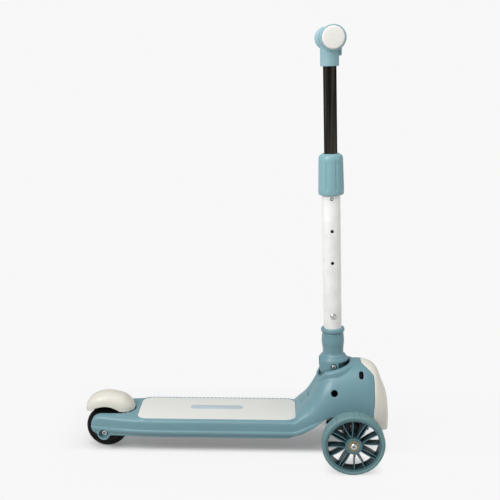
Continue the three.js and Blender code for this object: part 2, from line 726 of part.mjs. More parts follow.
// Rear axle bolt and its nut, sunk in the arms
const axleSeat = recessFloor + CLEARANCE;
const rearAxle = groupAt(scooter, rearAxleX, 0, REAR_RADIUS);
piece("rear_axle_bolt", onY(
  bolt(AXLE_RADIUS, axleSeat * 2 + NUT_HEIGHT + CLEARANCE, SCREW_HEAD_RADIUS, SCREW_HEAD_HEIGHT), -axleSeat, 1,
), steel, rearAxle);
piece("rear_axle_nut", onY(nut(boltShank, SCREW_HEAD_RADIUS, NUT_HEIGHT), axleSeat, 1), steel, rearAxle);

// A ball bearing as one closed ring with its shield sunk between the races
function bearing() {
  const [bore, outer, half] = [boltShank, BEARING_RADIUS, BEARING_WIDTH / 2];
  const race = (outer - bore) * 0.28;
  const sink = half * 0.85;
  return turned([
    [bore, -sink], [outer - race, -sink], [outer - race, -half], [outer, -half], [outer, half],
    [outer - race, half], [outer - race, sink], [bore, sink],
  ], 12);
}

// Rear wheel: crowned tyre on a plain core
const rearCoreRadius = REAR_RADIUS - REAR_TYRE_DEPTH;
const rearHalf = REAR_WIDTH / 2;
const rearTyre = turned([
  [rearCoreRadius + CLEARANCE, -rearHalf], [REAR_RADIUS - REAR_CROWN, -rearHalf],
  [REAR_RADIUS - REAR_CROWN * 0.35, -rearHalf * 0.72], [REAR_RADIUS, -rearHalf * 0.2],
  [REAR_RADIUS, rearHalf * 0.2], [REAR_RADIUS - REAR_CROWN * 0.35, rearHalf * 0.72],
  [REAR_RADIUS - REAR_CROWN, rearHalf], [rearCoreRadius + CLEARANCE, rearHalf],
], 32);
const rearBearingOuter = hubHalfRear;
const rearStep = BEARING_RADIUS - BEARING_WIDTH * 0.3;
const hubBore = BEARING_RADIUS + CLEARANCE;
const rearSeatInner = rearBearingOuter - BEARING_WIDTH - CLEARANCE;
const rearCore = turned([
  [hubBore, -rearBearingOuter], [HUB_RADIUS, -rearBearingOuter], [HUB_RADIUS, -rearHalf * 0.5],
  [rearCoreRadius - RIM_WALL, -rearHalf * 0.5], [rearCoreRadius - RIM_WALL, -rearHalf * 0.92],
  [rearCoreRadius, -rearHalf * 0.92], [rearCoreRadius, rearHalf * 0.92],
  [rearCoreRadius - RIM_WALL, rearHalf * 0.92], [rearCoreRadius - RIM_WALL, rearHalf * 0.5],
  [HUB_RADIUS, rearHalf * 0.5], [HUB_RADIUS, rearBearingOuter], [hubBore, rearBearingOuter],
  [hubBore, rearSeatInner], [rearStep, rearSeatInner], [rearStep, -rearSeatInner], [hubBore, -rearSeatInner],
], 18);
piece("rear_tyre", onY(rearTyre, 0, 1), black, rearAxle);
piece("rear_wheel_core", onY(rearCore, 0, 1), black, rearAxle);
sides.forEach(([name, side]) => piece(
  `rear_bearing_${name}`,
  onY(bearing(), side * (rearBearingOuter - BEARING_WIDTH / 2), 1),
  steel,
  rearAxle,
));

// Front bracket: flange on the hood's back wall, top web, two hangers, spring wings,
// the tongue that carries the stem, and the post of the fold lock
const flangeFront = cavityX + CLEARANCE + FLANGE_THICKNESS;
const webTop = WEB_HEIGHT + WEB_THICKNESS;
const hangerInner = HANGER_SPAN / 2;
const hangerOuter = hangerInner + HANGER_THICKNESS;
const lockBarX = stemX + LOCK_BAR_SETBACK;
const lockBarBottom = PIVOT_HEIGHT - LOCK_HOOK_TOP - LOCK_BAR_HEIGHT;
const lockWallX = lockBarX + LOCK_PLATE / 2 + LOCK_SPRING_LENGTH;

function hangerShape() {
  const shape = new THREE.Shape();
  shape.moveTo(HANGER_HALF_WIDTH, webTop);
  shape.lineTo(HANGER_HALF_WIDTH, WEB_HEIGHT - HANGER_DROP);
  shape.lineTo(HANGER_EYE_RADIUS, ROLL_HEIGHT);
  shape.absarc(0, ROLL_HEIGHT, HANGER_EYE_RADIUS, 0, -Math.PI, true);
  shape.lineTo(-HANGER_HALF_WIDTH, WEB_HEIGHT - HANGER_DROP);
  shape.lineTo(-HANGER_HALF_WIDTH, webTop);
  return shape;
}

function tongueShape() {
  const shape = new THREE.Shape();
  shape.moveTo(stemX - LUG_RADIUS, WEB_HEIGHT);
  shape.lineTo(stemX + LUG_RADIUS, WEB_HEIGHT);
  shape.lineTo(stemX + LUG_RADIUS, PIVOT_HEIGHT);
  shape.absarc(stemX, PIVOT_HEIGHT, LUG_RADIUS, 0, Math.PI, false);
  return shape;
}

function springSpigots(z0, z1) {
  return perSide((side) => upright(SPIGOT_RADIUS, z0, z1, 12).translate(frontAxleX, side * SPRING_OFFSET, 0));
}

function buildBracket() {
  const flangeTop = webTop;
  const flange = box(
    cavityX + CLEARANCE, flangeFront, -FLANGE_HALF_WIDTH, FLANGE_HALF_WIDTH, FLANGE_BOTTOM, flangeTop,
  );
  const web = box(
    flangeFront - WELD, frontAxleX + hangerOuter, -HANGER_HALF_WIDTH, HANGER_HALF_WIDTH, WEB_HEIGHT, webTop,
  );
  const hangers = [-hangerOuter, hangerInner].map((x) =>
    forward(hangerShape(), frontAxleX + x, frontAxleX + x + HANGER_THICKNESS, 8));
  const wings = box(
    frontAxleX - WING_LENGTH / 2, frontAxleX + WING_LENGTH / 2,
    -WING_HALF_WIDTH, WING_HALF_WIDTH, WING_BOTTOM, webTop - WEB_THICKNESS / 2,
  );
  const tongue = sideways(tongueShape(), -TONGUE_THICKNESS / 2, TONGUE_THICKNESS / 2, 10);
  const stubStart = frontAxleX + STEER_ARM - ROD_WIDTH / 2 - WELD;
  const stub = along("x", GUIDE_RADIUS, stubStart, frontAxleX + hangerInner + WELD, 16)
    .translate(0, 0, ROD_HEIGHT);
  const post = joined(
    box(lockBarX - ROD_WIDTH, lockWallX + LOCK_PLATE, -POST_HALF_WIDTH, POST_HALF_WIDTH, WEB_HEIGHT,
      lockBarBottom - CLEARANCE),
    box(lockWallX, lockWallX + LOCK_PLATE, -POST_HALF_WIDTH, POST_HALF_WIDTH, WEB_HEIGHT,
      lockBarBottom + LOCK_BAR_HEIGHT),
  );
  const spigots = springSpigots(WING_BOTTOM - SPIGOT_HEIGHT, webTop - WELD);
  const rollEnd = hangerOuter + OVERRUN;
  return cut(
    joined(flange, web, ...hangers, wings, tongue, stub, post, ...spigots),
    along("x", ROLL_PIN_RADIUS + CLEARANCE, frontAxleX - rollEnd, frontAxleX + rollEnd, 16)
      .translate(0, 0, ROLL_HEIGHT),
    along("y", PIVOT_RADIUS + CLEARANCE, -TONGUE_THICKNESS, TONGUE_THICKNESS, 16)
      .translate(stemX, 0, PIVOT_HEIGHT),
    ...perSide((side) => along("x", boltShank, cavityX - OVERRUN, flangeFront + OVERRUN, 12)
      .translate(0, side * flangeBoltY, flangeBoltZ)),
  );
}
piece("front_bracket", buildBracket(), blackSteel);
sides.forEach(([name, side]) => piece(
  `bracket_bolt_${name}`,
  onX(bolt(AXLE_RADIUS, FLANGE_BOLT_LENGTH + FLANGE_THICKNESS + CLEARANCE, SCREW_HEAD_RADIUS, SCREW_HEAD_HEIGHT),
    flangeFront + CLEARANCE, -1).translate(0, side * flangeBoltY, flangeBoltZ),
  steel,
));
const rollHead = frontAxleX - hangerOuter - CLEARANCE;
const rollLength = hangerOuter * 2 + CLEARANCE * 2 + NUT_HEIGHT;
piece("roll_bolt", onX(bolt(ROLL_PIN_RADIUS, rollLength, ROLL_HEAD_RADIUS, NUT_HEIGHT), rollHead, 1)
  .translate(0, 0, ROLL_HEIGHT), steel);
piece("roll_nut", onX(nut(ROLL_PIN_RADIUS + CLEARANCE, ROLL_HEAD_RADIUS, NUT_HEIGHT),
  frontAxleX + hangerOuter + CLEARANCE, 1).translate(0, 0, ROLL_HEIGHT), steel);

// Fold bolt through the stem base, with head and nut in round recesses
const foldSeat = BASE_RADIUS - FOLD_RECESS_DEPTH + CLEARANCE;
const fold = groupAt(scooter, stemX, 0, PIVOT_HEIGHT);
piece("fold_bolt", onY(
  bolt(PIVOT_RADIUS, foldSeat * 2 + FOLD_NUT_HEIGHT, FOLD_HEAD_RADIUS, FOLD_NUT_HEIGHT), -foldSeat, 1,
), steel, fold);
piece("fold_nut", onY(nut(boltShank, FOLD_NUT_RADIUS, FOLD_NUT_HEIGHT), foldSeat, 1), steel, fold);

// Fold lock: crossbar on the post, finger tabs in the slots of the hood, two fingers towards the stem
function buildLock() {
  const half = LOCK_PLATE / 2;
  const top = lockBarBottom + LOCK_BAR_HEIGHT;
  const tabMiddle = lockBarBottom + LOCK_TAB_HEIGHT * 0.75;
  const bar = box(lockBarX - half, lockBarX + half, -LOCK_BAR_HALF, LOCK_BAR_HALF, lockBarBottom, top);
  const tabs = box(lockBarX - half, lockBarX + half, -LOCK_TAB_REACH, LOCK_TAB_REACH,
    tabMiddle - LOCK_TAB_HEIGHT / 2, tabMiddle + LOCK_TAB_HEIGHT / 2);
  const fingers = perSide((side) => box(
    stemX + LOCK_FINGER_REACH, lockBarX,
    ...span(side, LOCK_LUG_INNER, LOCK_LUG_OUTER),
    top - LOCK_HOOK_HEIGHT, top,
  ));
  return joined(bar, tabs, ...fingers);
}
piece("fold_lock", buildLock(), blackSteel);

// A coil spring: one unbroken wire, with its least gap to itself measured along the curls
function coil(name, radius, height, turns, wireRadius) {
  const curve = new Coil(radius, height, turns);
  const places = range(turns * 16 + 1).map((i) => curve.getPoint(i / (turns * 16)));
  let least = Infinity;
  places.forEach((a, i) => {
    for (let j = i + 8; j < places.length; j++) least = Math.min(least, a.distanceTo(places[j]));
  });
  console.log(`${name}: least gap to itself ${(least - wireRadius * 2).toFixed(2)} mm`);
  return wire(curve, wireRadius, turns * 8, 5);
}
const lockCoilHeight = LOCK_SPRING_LENGTH - LOCK_WIRE * 2 - CLEARANCE * 2;
piece("lock_spring", onX(
  coil("lock_spring", LOCK_SPRING_RADIUS, lockCoilHeight, LOCK_TURNS, LOCK_WIRE),
  lockBarX + LOCK_PLATE / 2 + LOCK_WIRE + CLEARANCE, 1,
).translate(0, 0, lockBarBottom + LOCK_BAR_HEIGHT / 2), steel);

// Stem, built upright about the fold pivot and raked back
const stem = groupAt(scooter, stemX, 0, PIVOT_HEIGHT, -STEM_RAKE);
const socketBottom = BASE_HEIGHT - SOCKET_DEPTH;
const tubeInner = TUBE_RADIUS - TUBE_WALL;

// Outline of the base from its foot to the rim of its barrel: radius and height above the pivot
const footShares = [
  [1, 0.095], [0.98, 0.135], [0.953, 0.169], [0.883, 0.196], [0.84, 0.206], [0.82, 0.237], [0.78, 0.271],
];
const barrelShares = [
  [0.955, 0.298], [0.91, 0.325], [0.901, 0.379], [0.946, 0.488], [1, 0.596], [1, 0.678], [0.973, 0.772],
  [0.946, 0.84], [0.91, 0.86], [0.91, 0.874], [1.027, 0.894], [1.054, 0.935], [1.027, 0.976], [0.946, 1],
];

function buildStemBase() {
  const seat = TUBE_RADIUS + CLEARANCE;
  const spigot = tubeInner - CLEARANCE;
  const body = turned([
    [0, -BASE_DROP], [BASE_RADIUS * 0.917, -BASE_DROP], [BASE_RADIUS, -BASE_DROP * 0.56],
    ...footShares.map(([out, up]) => [BASE_RADIUS * out, BASE_HEIGHT * up]),
    ...barrelShares.map(([out, up]) => [BARREL_RADIUS * out, BASE_HEIGHT * up]),
    [seat, BASE_HEIGHT], [seat, socketBottom], [spigot, socketBottom],
    [spigot, SPIGOT_TOP - TUBE_WALL], [spigot - TUBE_WALL, SPIGOT_TOP], [0, SPIGOT_TOP],
  ], 22);
  const slot = (TONGUE_THICKNESS + WHEEL_GAP * 0.4) / 2;
  const reach = BASE_RADIUS + OVERRUN;
  const room = LUG_RADIUS + WHEEL_GAP * 0.75;
  const lugStart = BASE_FRONT_STEP - WELD;
  const ledge = -LOCK_HOOK_TOP - LOCK_HOOK_HEIGHT - CLEARANCE * 1.5;
  const lugs = perSide((side) => {
    const across = span(side, LOCK_LUG_INNER, LOCK_LUG_OUTER);
    return joined(
      box(lugStart, LOCK_LUG_REACH * 0.77, ...across, -LOCK_LUG_DROP, BASE_FRONT_RISE + WELD * 2),
      box(lugStart, LOCK_LUG_REACH, ...across, -LOCK_LUG_DROP, ledge),
    );
  });
  const lower = cut(body, box(BASE_FRONT_STEP, reach, -reach, reach, -BASE_DROP - OVERRUN, BASE_FRONT_RISE));
  const screwHole = along("y", TUBE_SCREW_RADIUS + CLEARANCE, -TUBE_RADIUS - OVERRUN, -TUBE_SCREW_RADIUS, 12)
    .translate(0, 0, TUBE_SCREW_HEIGHT);
  const recess = FOLD_HEAD_RADIUS + WHEEL_GAP;
  return cut(
    joined(lower, ...lugs),
    box(-reach, room, -slot, slot, -reach, room),
    along("y", boltShank, -reach, reach, 16),
    along("y", recess, -reach, -BASE_RADIUS + FOLD_RECESS_DEPTH, 20),
    along("y", recess, BASE_RADIUS - FOLD_RECESS_DEPTH, reach, 20),
    screwHole,
  );
}
piece("stem_base", buildStemBase(), blue, stem);

const buttonHeight = INNER_BOTTOM + BUTTON_RISE;
const sideHole = (radius, height, from, to) => along("y", radius, -from, -to, 16).translate(0, 0, height);
const tubeWall = (outer, inner, z0, z1) =>
  turned([[inner, z0], [outer, z0], [outer, z1], [inner, z1]], 28);
piece("outer_tube", cut(
  tubeWall(TUBE_RADIUS, tubeInner, socketBottom + CLEARANCE, TUBE_TOP),
  sideHole(TUBE_SCREW_RADIUS + CLEARANCE, TUBE_SCREW_HEIGHT, TUBE_RADIUS + OVERRUN, OVERRUN),
  ...range(HOLE_COUNT).map((i) =>
    sideHole(HOLE_RADIUS, buttonHeight - HOLE_PITCH * i, TUBE_RADIUS + OVERRUN, OVERRUN)),
), whitePaint, stem);
piece("tube_screw", onY(
  bolt(TUBE_SCREW_RADIUS, TUBE_RADIUS - TUBE_SCREW_RADIUS * 2, TUBE_SCREW_HEAD, TUBE_SCREW_RADIUS),
  -TUBE_RADIUS - CLEARANCE, 1,
).translate(0, 0, TUBE_SCREW_HEIGHT), steel, stem);
const bushTop = TUBE_TOP - BUSH_SINK;
piece(
  "clamp_bush",
  tubeWall(tubeInner - CLEARANCE / 2, INNER_RADIUS + CLEARANCE, bushTop - BUSH_HEIGHT, bushTop),
  blackPlastic,
  stem,
);

// Clamp collar with shallow flutes: radius and height of its outer outline
const collarShares = [
  [0.959, 0], [1, 0.026], [1, 0.103], [0.947, 0.885], [0.886, 0.949], [0.736, 0.974], [0.675, 1],
];

function buildCollar() {
  const top = COLLAR_BOTTOM + COLLAR_HEIGHT;
  const seat = TUBE_RADIUS + CLEARANCE;
  const shoulder = TUBE_TOP + CLEARANCE * 2;
  const body = turned([
    [seat, COLLAR_BOTTOM],
    ...collarShares.map(([out, up]) => [COLLAR_RADIUS * out, COLLAR_BOTTOM + COLLAR_HEIGHT * up]),
    [INNER_RADIUS + CLEARANCE, top], [INNER_RADIUS + CLEARANCE, shoulder], [seat, shoulder],
  ], 28);
  const depth = COLLAR_RADIUS - FLUTE_DEPTH + FLUTE_RADIUS;
  const flutes = range(COLLAR_FLUTES).map((i) =>
    upright(FLUTE_RADIUS, COLLAR_BOTTOM + OVERRUN, top - OVERRUN * 1.5, 8)
      .translate(depth, 0, 0).rotateZ(rad(FLUTE_ANGLE) + (i * Math.PI * 2) / COLLAR_FLUTES));
  return cut(body, ...flutes);
}
piece("collar", buildCollar(), blue, stem);

// Telescopic tube with a plug at its foot and the spring button
const headBottom = BAR_HEIGHT - HEAD_DROP;
const innerTop = headBottom + HEAD_GRIP_DEPTH + FLANGE_WIDTH;
piece("inner_tube", cut(
  tubeWall(INNER_RADIUS, INNER_RADIUS - INNER_WALL, INNER_BOTTOM, innerTop),
  sideHole(BUTTON_RADIUS + CLEARANCE, buttonHeight, INNER_RADIUS + OVERRUN, 0),
), darkChrome, stem);
piece("foot_plug", turned([
  [0, INNER_BOTTOM - FOOT_RIM], [tubeInner - CLEARANCE, INNER_BOTTOM - FOOT_RIM],
  [tubeInner - CLEARANCE, INNER_BOTTOM - CLEARANCE],
  [INNER_RADIUS - INNER_WALL - CLEARANCE, INNER_BOTTOM - CLEARANCE],
  [INNER_RADIUS - INNER_WALL - CLEARANCE, INNER_BOTTOM + FOOT_HEIGHT], [0, INNER_BOTTOM + FOOT_HEIGHT],
], 20), blackPlastic, stem);
const buttonTip = tubeInner - CLEARANCE;
piece("spring_button", onY(turned([
  [0, 0], [BUTTON_RADIUS * 1.4, 0], [BUTTON_RADIUS * 1.4, BUTTON_FLANGE], [BUTTON_RADIUS, BUTTON_FLANGE],
  [BUTTON_RADIUS, BUTTON_LENGTH - BUTTON_FLANGE], [BUTTON_RADIUS * 0.7, BUTTON_LENGTH - BUTTON_FLANGE * 0.3],
  [0, BUTTON_LENGTH],
], 16), BUTTON_LENGTH - buttonTip, -1).translate(0, 0, buttonHeight), steel, stem);

// Handlebar: T-shaped head, bar, grips and caps
const bar = groupAt(stem, 0, 0, BAR_HEIGHT);
const barBore = BAR_RADIUS + CLEARANCE;
function buildHead() {
  const socket = upright(HEAD_RADIUS, -HEAD_DROP, 0, 28);
  const barrel = along("y", HEAD_BARREL_RADIUS, -HEAD_BARREL_HALF, HEAD_BARREL_HALF, 28);
  const boss = along("x", HEAD_BOSS_RADIUS, 0, HEAD_BOSS_REACH, 20).translate(0, 0, -HEAD_BOSS_DROP);
  return cut(
    joined(socket, barrel, boss),
    upright(INNER_RADIUS + CLEARANCE, -HEAD_DROP - OVERRUN, innerTop - BAR_HEIGHT + CLEARANCE, 28),
    along("y", barBore, -HEAD_BARREL_HALF - OVERRUN, HEAD_BARREL_HALF + OVERRUN, 28),
  );
}
piece("t_head", buildHead(), blue, bar);
const capSeat = BAR_HALF_WIDTH - CAP_DOME * 2;
const barEnd = capSeat - CAP_DOME;
const barTube = tubeWall(BAR_RADIUS, BAR_RADIUS - INNER_WALL, -barEnd, barEnd);
piece("handle_bar", onY(barTube, 0, 1), darkChrome, bar);

function buildGrip() {
  const start = HEAD_BARREL_HALF + CLEARANCE;
  const face = capSeat + CAP_DOME;
  const flange = face - FLANGE_WIDTH;
  const pitch = (flange - start) / (GRIP_RIBS + 1);
  const ribs = range(GRIP_RIBS).flatMap((i) => {
    const middle = start + pitch * (i + 1);
    return [
      [GRIP_RADIUS - GRIP_RIB, middle - pitch * 0.45], [GRIP_RADIUS, middle - pitch * 0.3],
      [GRIP_RADIUS, middle + pitch * 0.3], [GRIP_RADIUS - GRIP_RIB, middle + pitch * 0.45],
    ];
  });
  return turned([
    [barBore, start], [GRIP_RADIUS - GRIP_RIB, start], ...ribs,
    [GRIP_RADIUS + FLANGE_ROUND, flange - FLANGE_ROUND],
    [FLANGE_RADIUS - FLANGE_ROUND, flange], [FLANGE_RADIUS, flange + FLANGE_ROUND],
    [FLANGE_RADIUS, face - FLANGE_ROUND], [FLANGE_RADIUS - FLANGE_ROUND, face],
    [CAP_RADIUS + CLEARANCE * 2, face], [CAP_RADIUS + CLEARANCE * 2, capSeat], [barBore, capSeat],
  ], 20);
}
sides.forEach(([name, side]) => {
  piece(`grip_${name}`, onY(buildGrip(), 0, side), blueRubber, bar);
  piece(`end_cap_${name}`, onY(turned([
    [0, capSeat + CLEARANCE], [CAP_RADIUS, capSeat + CLEARANCE], [CAP_RADIUS, BAR_HALF_WIDTH - CAP_DOME],
    [CAP_RADIUS - CAP_DOME, BAR_HALF_WIDTH - CAP_DOME / 4], [CAP_RADIUS / 2, BAR_HALF_WIDTH],
    [0, BAR_HALF_WIDTH],
  ], 24), 0, side), white, bar);
});

// Truck that tilts about the roll bolt, with a fork for each kingpin
const truck = groupAt(scooter, frontAxleX, 0, 0);
function buildBeam() {
  const half = BEAM_LENGTH / 2;
  const ear = KNUCKLE_RADIUS + FORK_MARGIN;
  const inner = KINGPIN_SPACING - FORK_ROOT - KNUCKLE_RADIUS + FORK_MARGIN;
  const web = inner + FORK_ROOT - WHEEL_GAP * 2;
  const forks = perSide((side) => {
    const plate = new THREE.Shape();
    plate.moveTo(-ear, inner);
    plate.lineTo(ear, inner);
    plate.lineTo(ear, KINGPIN_SPACING);
    plate.absarc(0, KINGPIN_SPACING, ear, 0, Math.PI, false);
    const ears = [[FORK_BOTTOM, FORK_BOTTOM + FORK_EAR], [FORK_TOP - FORK_EAR, FORK_TOP]].map(([z0, z1]) =>
      raised(plate, z0, z1, 8).rotateZ(side > 0 ? 0 : Math.PI));
    return [box(-ear, ear, ...span(side, inner, web), FORK_BOTTOM, FORK_TOP), ...ears];
  }).flat();
  const arm = KINGPIN_SPACING - FORK_ROOT;
  return cut(
    joined(
      box(-half, half, -arm, arm, BEAM_BOTTOM, BEAM_TOP),
      along("x", HANGER_EYE_RADIUS + FORK_MARGIN, CLEARANCE - hangerInner, hangerInner - CLEARANCE, 24)
        .translate(0, 0, ROLL_HEIGHT),
      ...forks,
      ...springSpigots(BEAM_TOP - WELD, BEAM_TOP + SPIGOT_HEIGHT)
        .map((one) => one.translate(-frontAxleX, 0, 0)),
    ),
    along("x", ROLL_PIN_RADIUS + CLEARANCE, -HANGER_SPAN, HANGER_SPAN, 16).translate(0, 0, ROLL_HEIGHT),
    ...perSide((side) => upright(KINGPIN_RADIUS + CLEARANCE, FORK_BOTTOM - OVERRUN, FORK_TOP + OVERRUN, 16)
      .translate(0, side * KINGPIN_SPACING, 0)),
  );
}
piece("truck_beam", buildBeam(), blackPlastic, truck);

const springBottom = BEAM_TOP + CLEARANCE + SPRING_WIRE;
const springTop = WING_BOTTOM - CLEARANCE - SPRING_WIRE;
sides.forEach(([name, side]) => piece(
  `lean_spring_${name}`,
  coil(`lean_spring_${name}`, SPRING_RADIUS, springTop - springBottom, SPRING_TURNS, SPRING_WIRE)
    .translate(0, side * SPRING_OFFSET, springBottom),
  steel,
  truck,
));

// Tie rod: a slotted block on the guide stub and an eye at each steering arm
function buildTieRod() {
  const rod = new THREE.Shape();
  const half = ROD_WIDTH / 2;
  const eye = STEER_PIN_RADIUS + CLEARANCE * 2 + ROD_WIDTH * 0.4;
  const low = ROD_HEIGHT - ROD_THICKNESS / 2;
  rod.moveTo(STEER_ARM - half, -KINGPIN_SPACING);
  rod.lineTo(STEER_ARM + half, -KINGPIN_SPACING);
  rod.lineTo(STEER_ARM + half, KINGPIN_SPACING);
  rod.lineTo(STEER_ARM - half, KINGPIN_SPACING);
  const block = box(STEER_ARM - half, STEER_ARM + half, -BLOCK_HALF_WIDTH, BLOCK_HALF_WIDTH,
    BEAM_TOP + ROD_GAP, ROD_HEIGHT + BLOCK_RISE);
  const slotHalf = GUIDE_RADIUS + CLEARANCE * 1.5;
  const slotRise = GUIDE_RADIUS + ROD_THICKNESS * 0.4;
  return cut(
    joined(
      raised(rod, low, low + ROD_THICKNESS),
      ...perSide((side) =>
        upright(eye, low, low + ROD_THICKNESS, 20).translate(STEER_ARM, side * KINGPIN_SPACING, 0)),
      block,
    ),
    ...perSide((side) => upright(STEER_PIN_RADIUS + CLEARANCE * 2, low - OVERRUN, low + OVERRUN * 2, 16)
      .translate(STEER_ARM, side * KINGPIN_SPACING, 0)),
    box(0, STEER_ARM * 2, -slotHalf, slotHalf, ROD_HEIGHT - slotRise, ROD_HEIGHT + slotRise),
  );
}
piece("tie_rod", buildTieRod(), blackSteel, truck);

// Front wheel: rim and hub rings joined by twin ribs and forked ribs
const rimRadius = FRONT_RADIUS - TYRE_DEPTH;
const hubHalf = HUB_WIDTH / 2;
function rib(fromAngle, toAngle, shift = 0) {
  const inner = HUB_RADIUS - WELD;
  const outer = rimRadius - RIM_WALL + WELD;
  const start = new THREE.Vector2(Math.cos(fromAngle), Math.sin(fromAngle)).multiplyScalar(inner);
  const end = new THREE.Vector2(Math.cos(toAngle), Math.sin(toAngle)).multiplyScalar(outer);
  const along = end.clone().sub(start);
  const across = new THREE.Vector2(-along.y, along.x).normalize();
  const corner = (p, out) => p.clone().addScaledVector(across, out);
  const half = RIB_THICKNESS / 2;
  const shape = new THREE.Shape([
    corner(start, shift - half), corner(end, shift - half),
    corner(end, shift + half), corner(start, shift + half),
  ]);
  return raised(shape, -RIB_DEPTH / 2, RIB_DEPTH / 2);
}

function buildFrontCore() {
  const half = RIM_WIDTH / 2;
  const step = BEARING_RADIUS - BEARING_WIDTH * 0.3;
  const seat = hubHalf - BEARING_WIDTH - CLEARANCE;
  const rim = turned([
    [rimRadius - RIM_WALL, -half], [rimRadius, -half], [rimRadius, half], [rimRadius - RIM_WALL, half],
  ], 32);
  const hub = turned([
    [hubBore, -hubHalf], [HUB_RADIUS, -hubHalf], [HUB_RADIUS, hubHalf], [hubBore, hubHalf],
    [hubBore, seat], [step, seat], [step, -seat], [hubBore, -seat],
  ], 18);
  const ribs = range(SPOKE_SETS).flatMap((i) => {
    const turn = (i * Math.PI * 2) / SPOKE_SETS;
    const twin = turn + rad(90 - SET_ANGLE);
    const fork = twin - Math.PI / SPOKE_SETS;
    const spread = rad(FORK_SPREAD);
    const pair = [-1, 1].map((side) => rib(twin, twin, (side * TWIN_RIB_SPACING) / 2));
    return [...pair, rib(fork, fork + spread), rib(fork, fork - spread)];
  });
  return joined(rim, hub, ...ribs);
}
const tyreInner = rimRadius + CLEARANCE;
const tyreHalf = FRONT_WIDTH / 2;
const frontTyre = () => {
  const edge = TYRE_SHOULDER * 0.3;
  const half = [
    [tyreInner, tyreHalf - TYRE_SHOULDER * 0.25], [FRONT_RADIUS - TYRE_SHOULDER, tyreHalf],
    [FRONT_RADIUS - edge, tyreHalf - edge], [FRONT_RADIUS, tyreHalf - TYRE_SHOULDER],
  ];
  return turned([...half.map(([r, y]) => [r, -y]), ...half.reverse()], 36);
};

function buildKnuckle(side) {
  const bottom = FORK_BOTTOM + FORK_EAR + CLEARANCE;
  const top = FORK_TOP - FORK_EAR - CLEARANCE;
  const boss = wheelMiddleY - hubHalf - CLEARANCE - KINGPIN_SPACING;
  const arm = new THREE.Shape();
  arm.moveTo(0, -KNUCKLE_RADIUS);
  arm.lineTo(STEER_ARM, -KNUCKLE_RADIUS * 0.66);
  arm.absarc(STEER_ARM, 0, KNUCKLE_RADIUS * 0.66, -Math.PI / 2, Math.PI / 2, false);
  arm.lineTo(0, KNUCKLE_RADIUS);
  const body = cut(
    joined(
      upright(KNUCKLE_RADIUS, bottom, top, 20),
      along("y", AXLE_RADIUS * 2, 0, boss, 16).translate(0, 0, FRONT_RADIUS),
      raised(arm, BEAM_TOP, top, 8),
      upright(STEER_PIN_RADIUS, BEAM_TOP, ROD_HEIGHT + ROD_THICKNESS * 0.7, 16).translate(STEER_ARM, 0, 0),
    ),
    upright(KINGPIN_RADIUS + CLEARANCE, FORK_BOTTOM, FORK_TOP, 16),
    along("y", boltShank, boss - AXLE_GRIP - CLEARANCE, boss + OVERRUN, 16).translate(0, 0, FRONT_RADIUS),
  );
  return side > 0 ? body : outward(body.applyMatrix4(new THREE.Matrix4().makeScale(1, -1, 1)));
}

sides.forEach(([name, side]) => {
  piece(`kingpin_${name}`, turned([
    [0, FORK_BOTTOM - SCREW_HEAD_HEIGHT], [SCREW_HEAD_RADIUS, FORK_BOTTOM - SCREW_HEAD_HEIGHT],
    [SCREW_HEAD_RADIUS, FORK_BOTTOM - CLEARANCE], [KINGPIN_RADIUS, FORK_BOTTOM - CLEARANCE],
    [KINGPIN_RADIUS, FORK_TOP + SCREW_HEAD_HEIGHT], [0, FORK_TOP + SCREW_HEAD_HEIGHT],
  ], 16).translate(0, side * KINGPIN_SPACING, 0), steel, truck);
  const knuckle = groupAt(truck, 0, side * KINGPIN_SPACING, 0);
  piece(`knuckle_${name}`, buildKnuckle(side), blackPlastic, knuckle);
  const wheel = groupAt(truck, 0, side * wheelMiddleY, FRONT_RADIUS);
  const shank = hubHalf * 2 + CLEARANCE * 2 + AXLE_GRIP;
  piece(`front_axle_${name}`, onY(bolt(AXLE_RADIUS, shank, SCREW_HEAD_RADIUS, SCREW_HEAD_HEIGHT),
    side * (hubHalf + CLEARANCE), -side), steel, wheel);
  piece(`front_wheel_core_${name}`, onY(buildFrontCore(), 0, -1), wheelBlue, wheel);
  piece(`front_tyre_${name}`, onY(frontTyre(), 0, 1), tyreBlue, wheel);
  [["inner", -1], ["outer", 1]].forEach(([end, out]) => piece(
    `front_bearing_${name}_${end}`,
    onY(bearing(), side * out * (hubHalf - BEARING_WIDTH / 2), 1),
    steel,
    wheel,
  ));
});

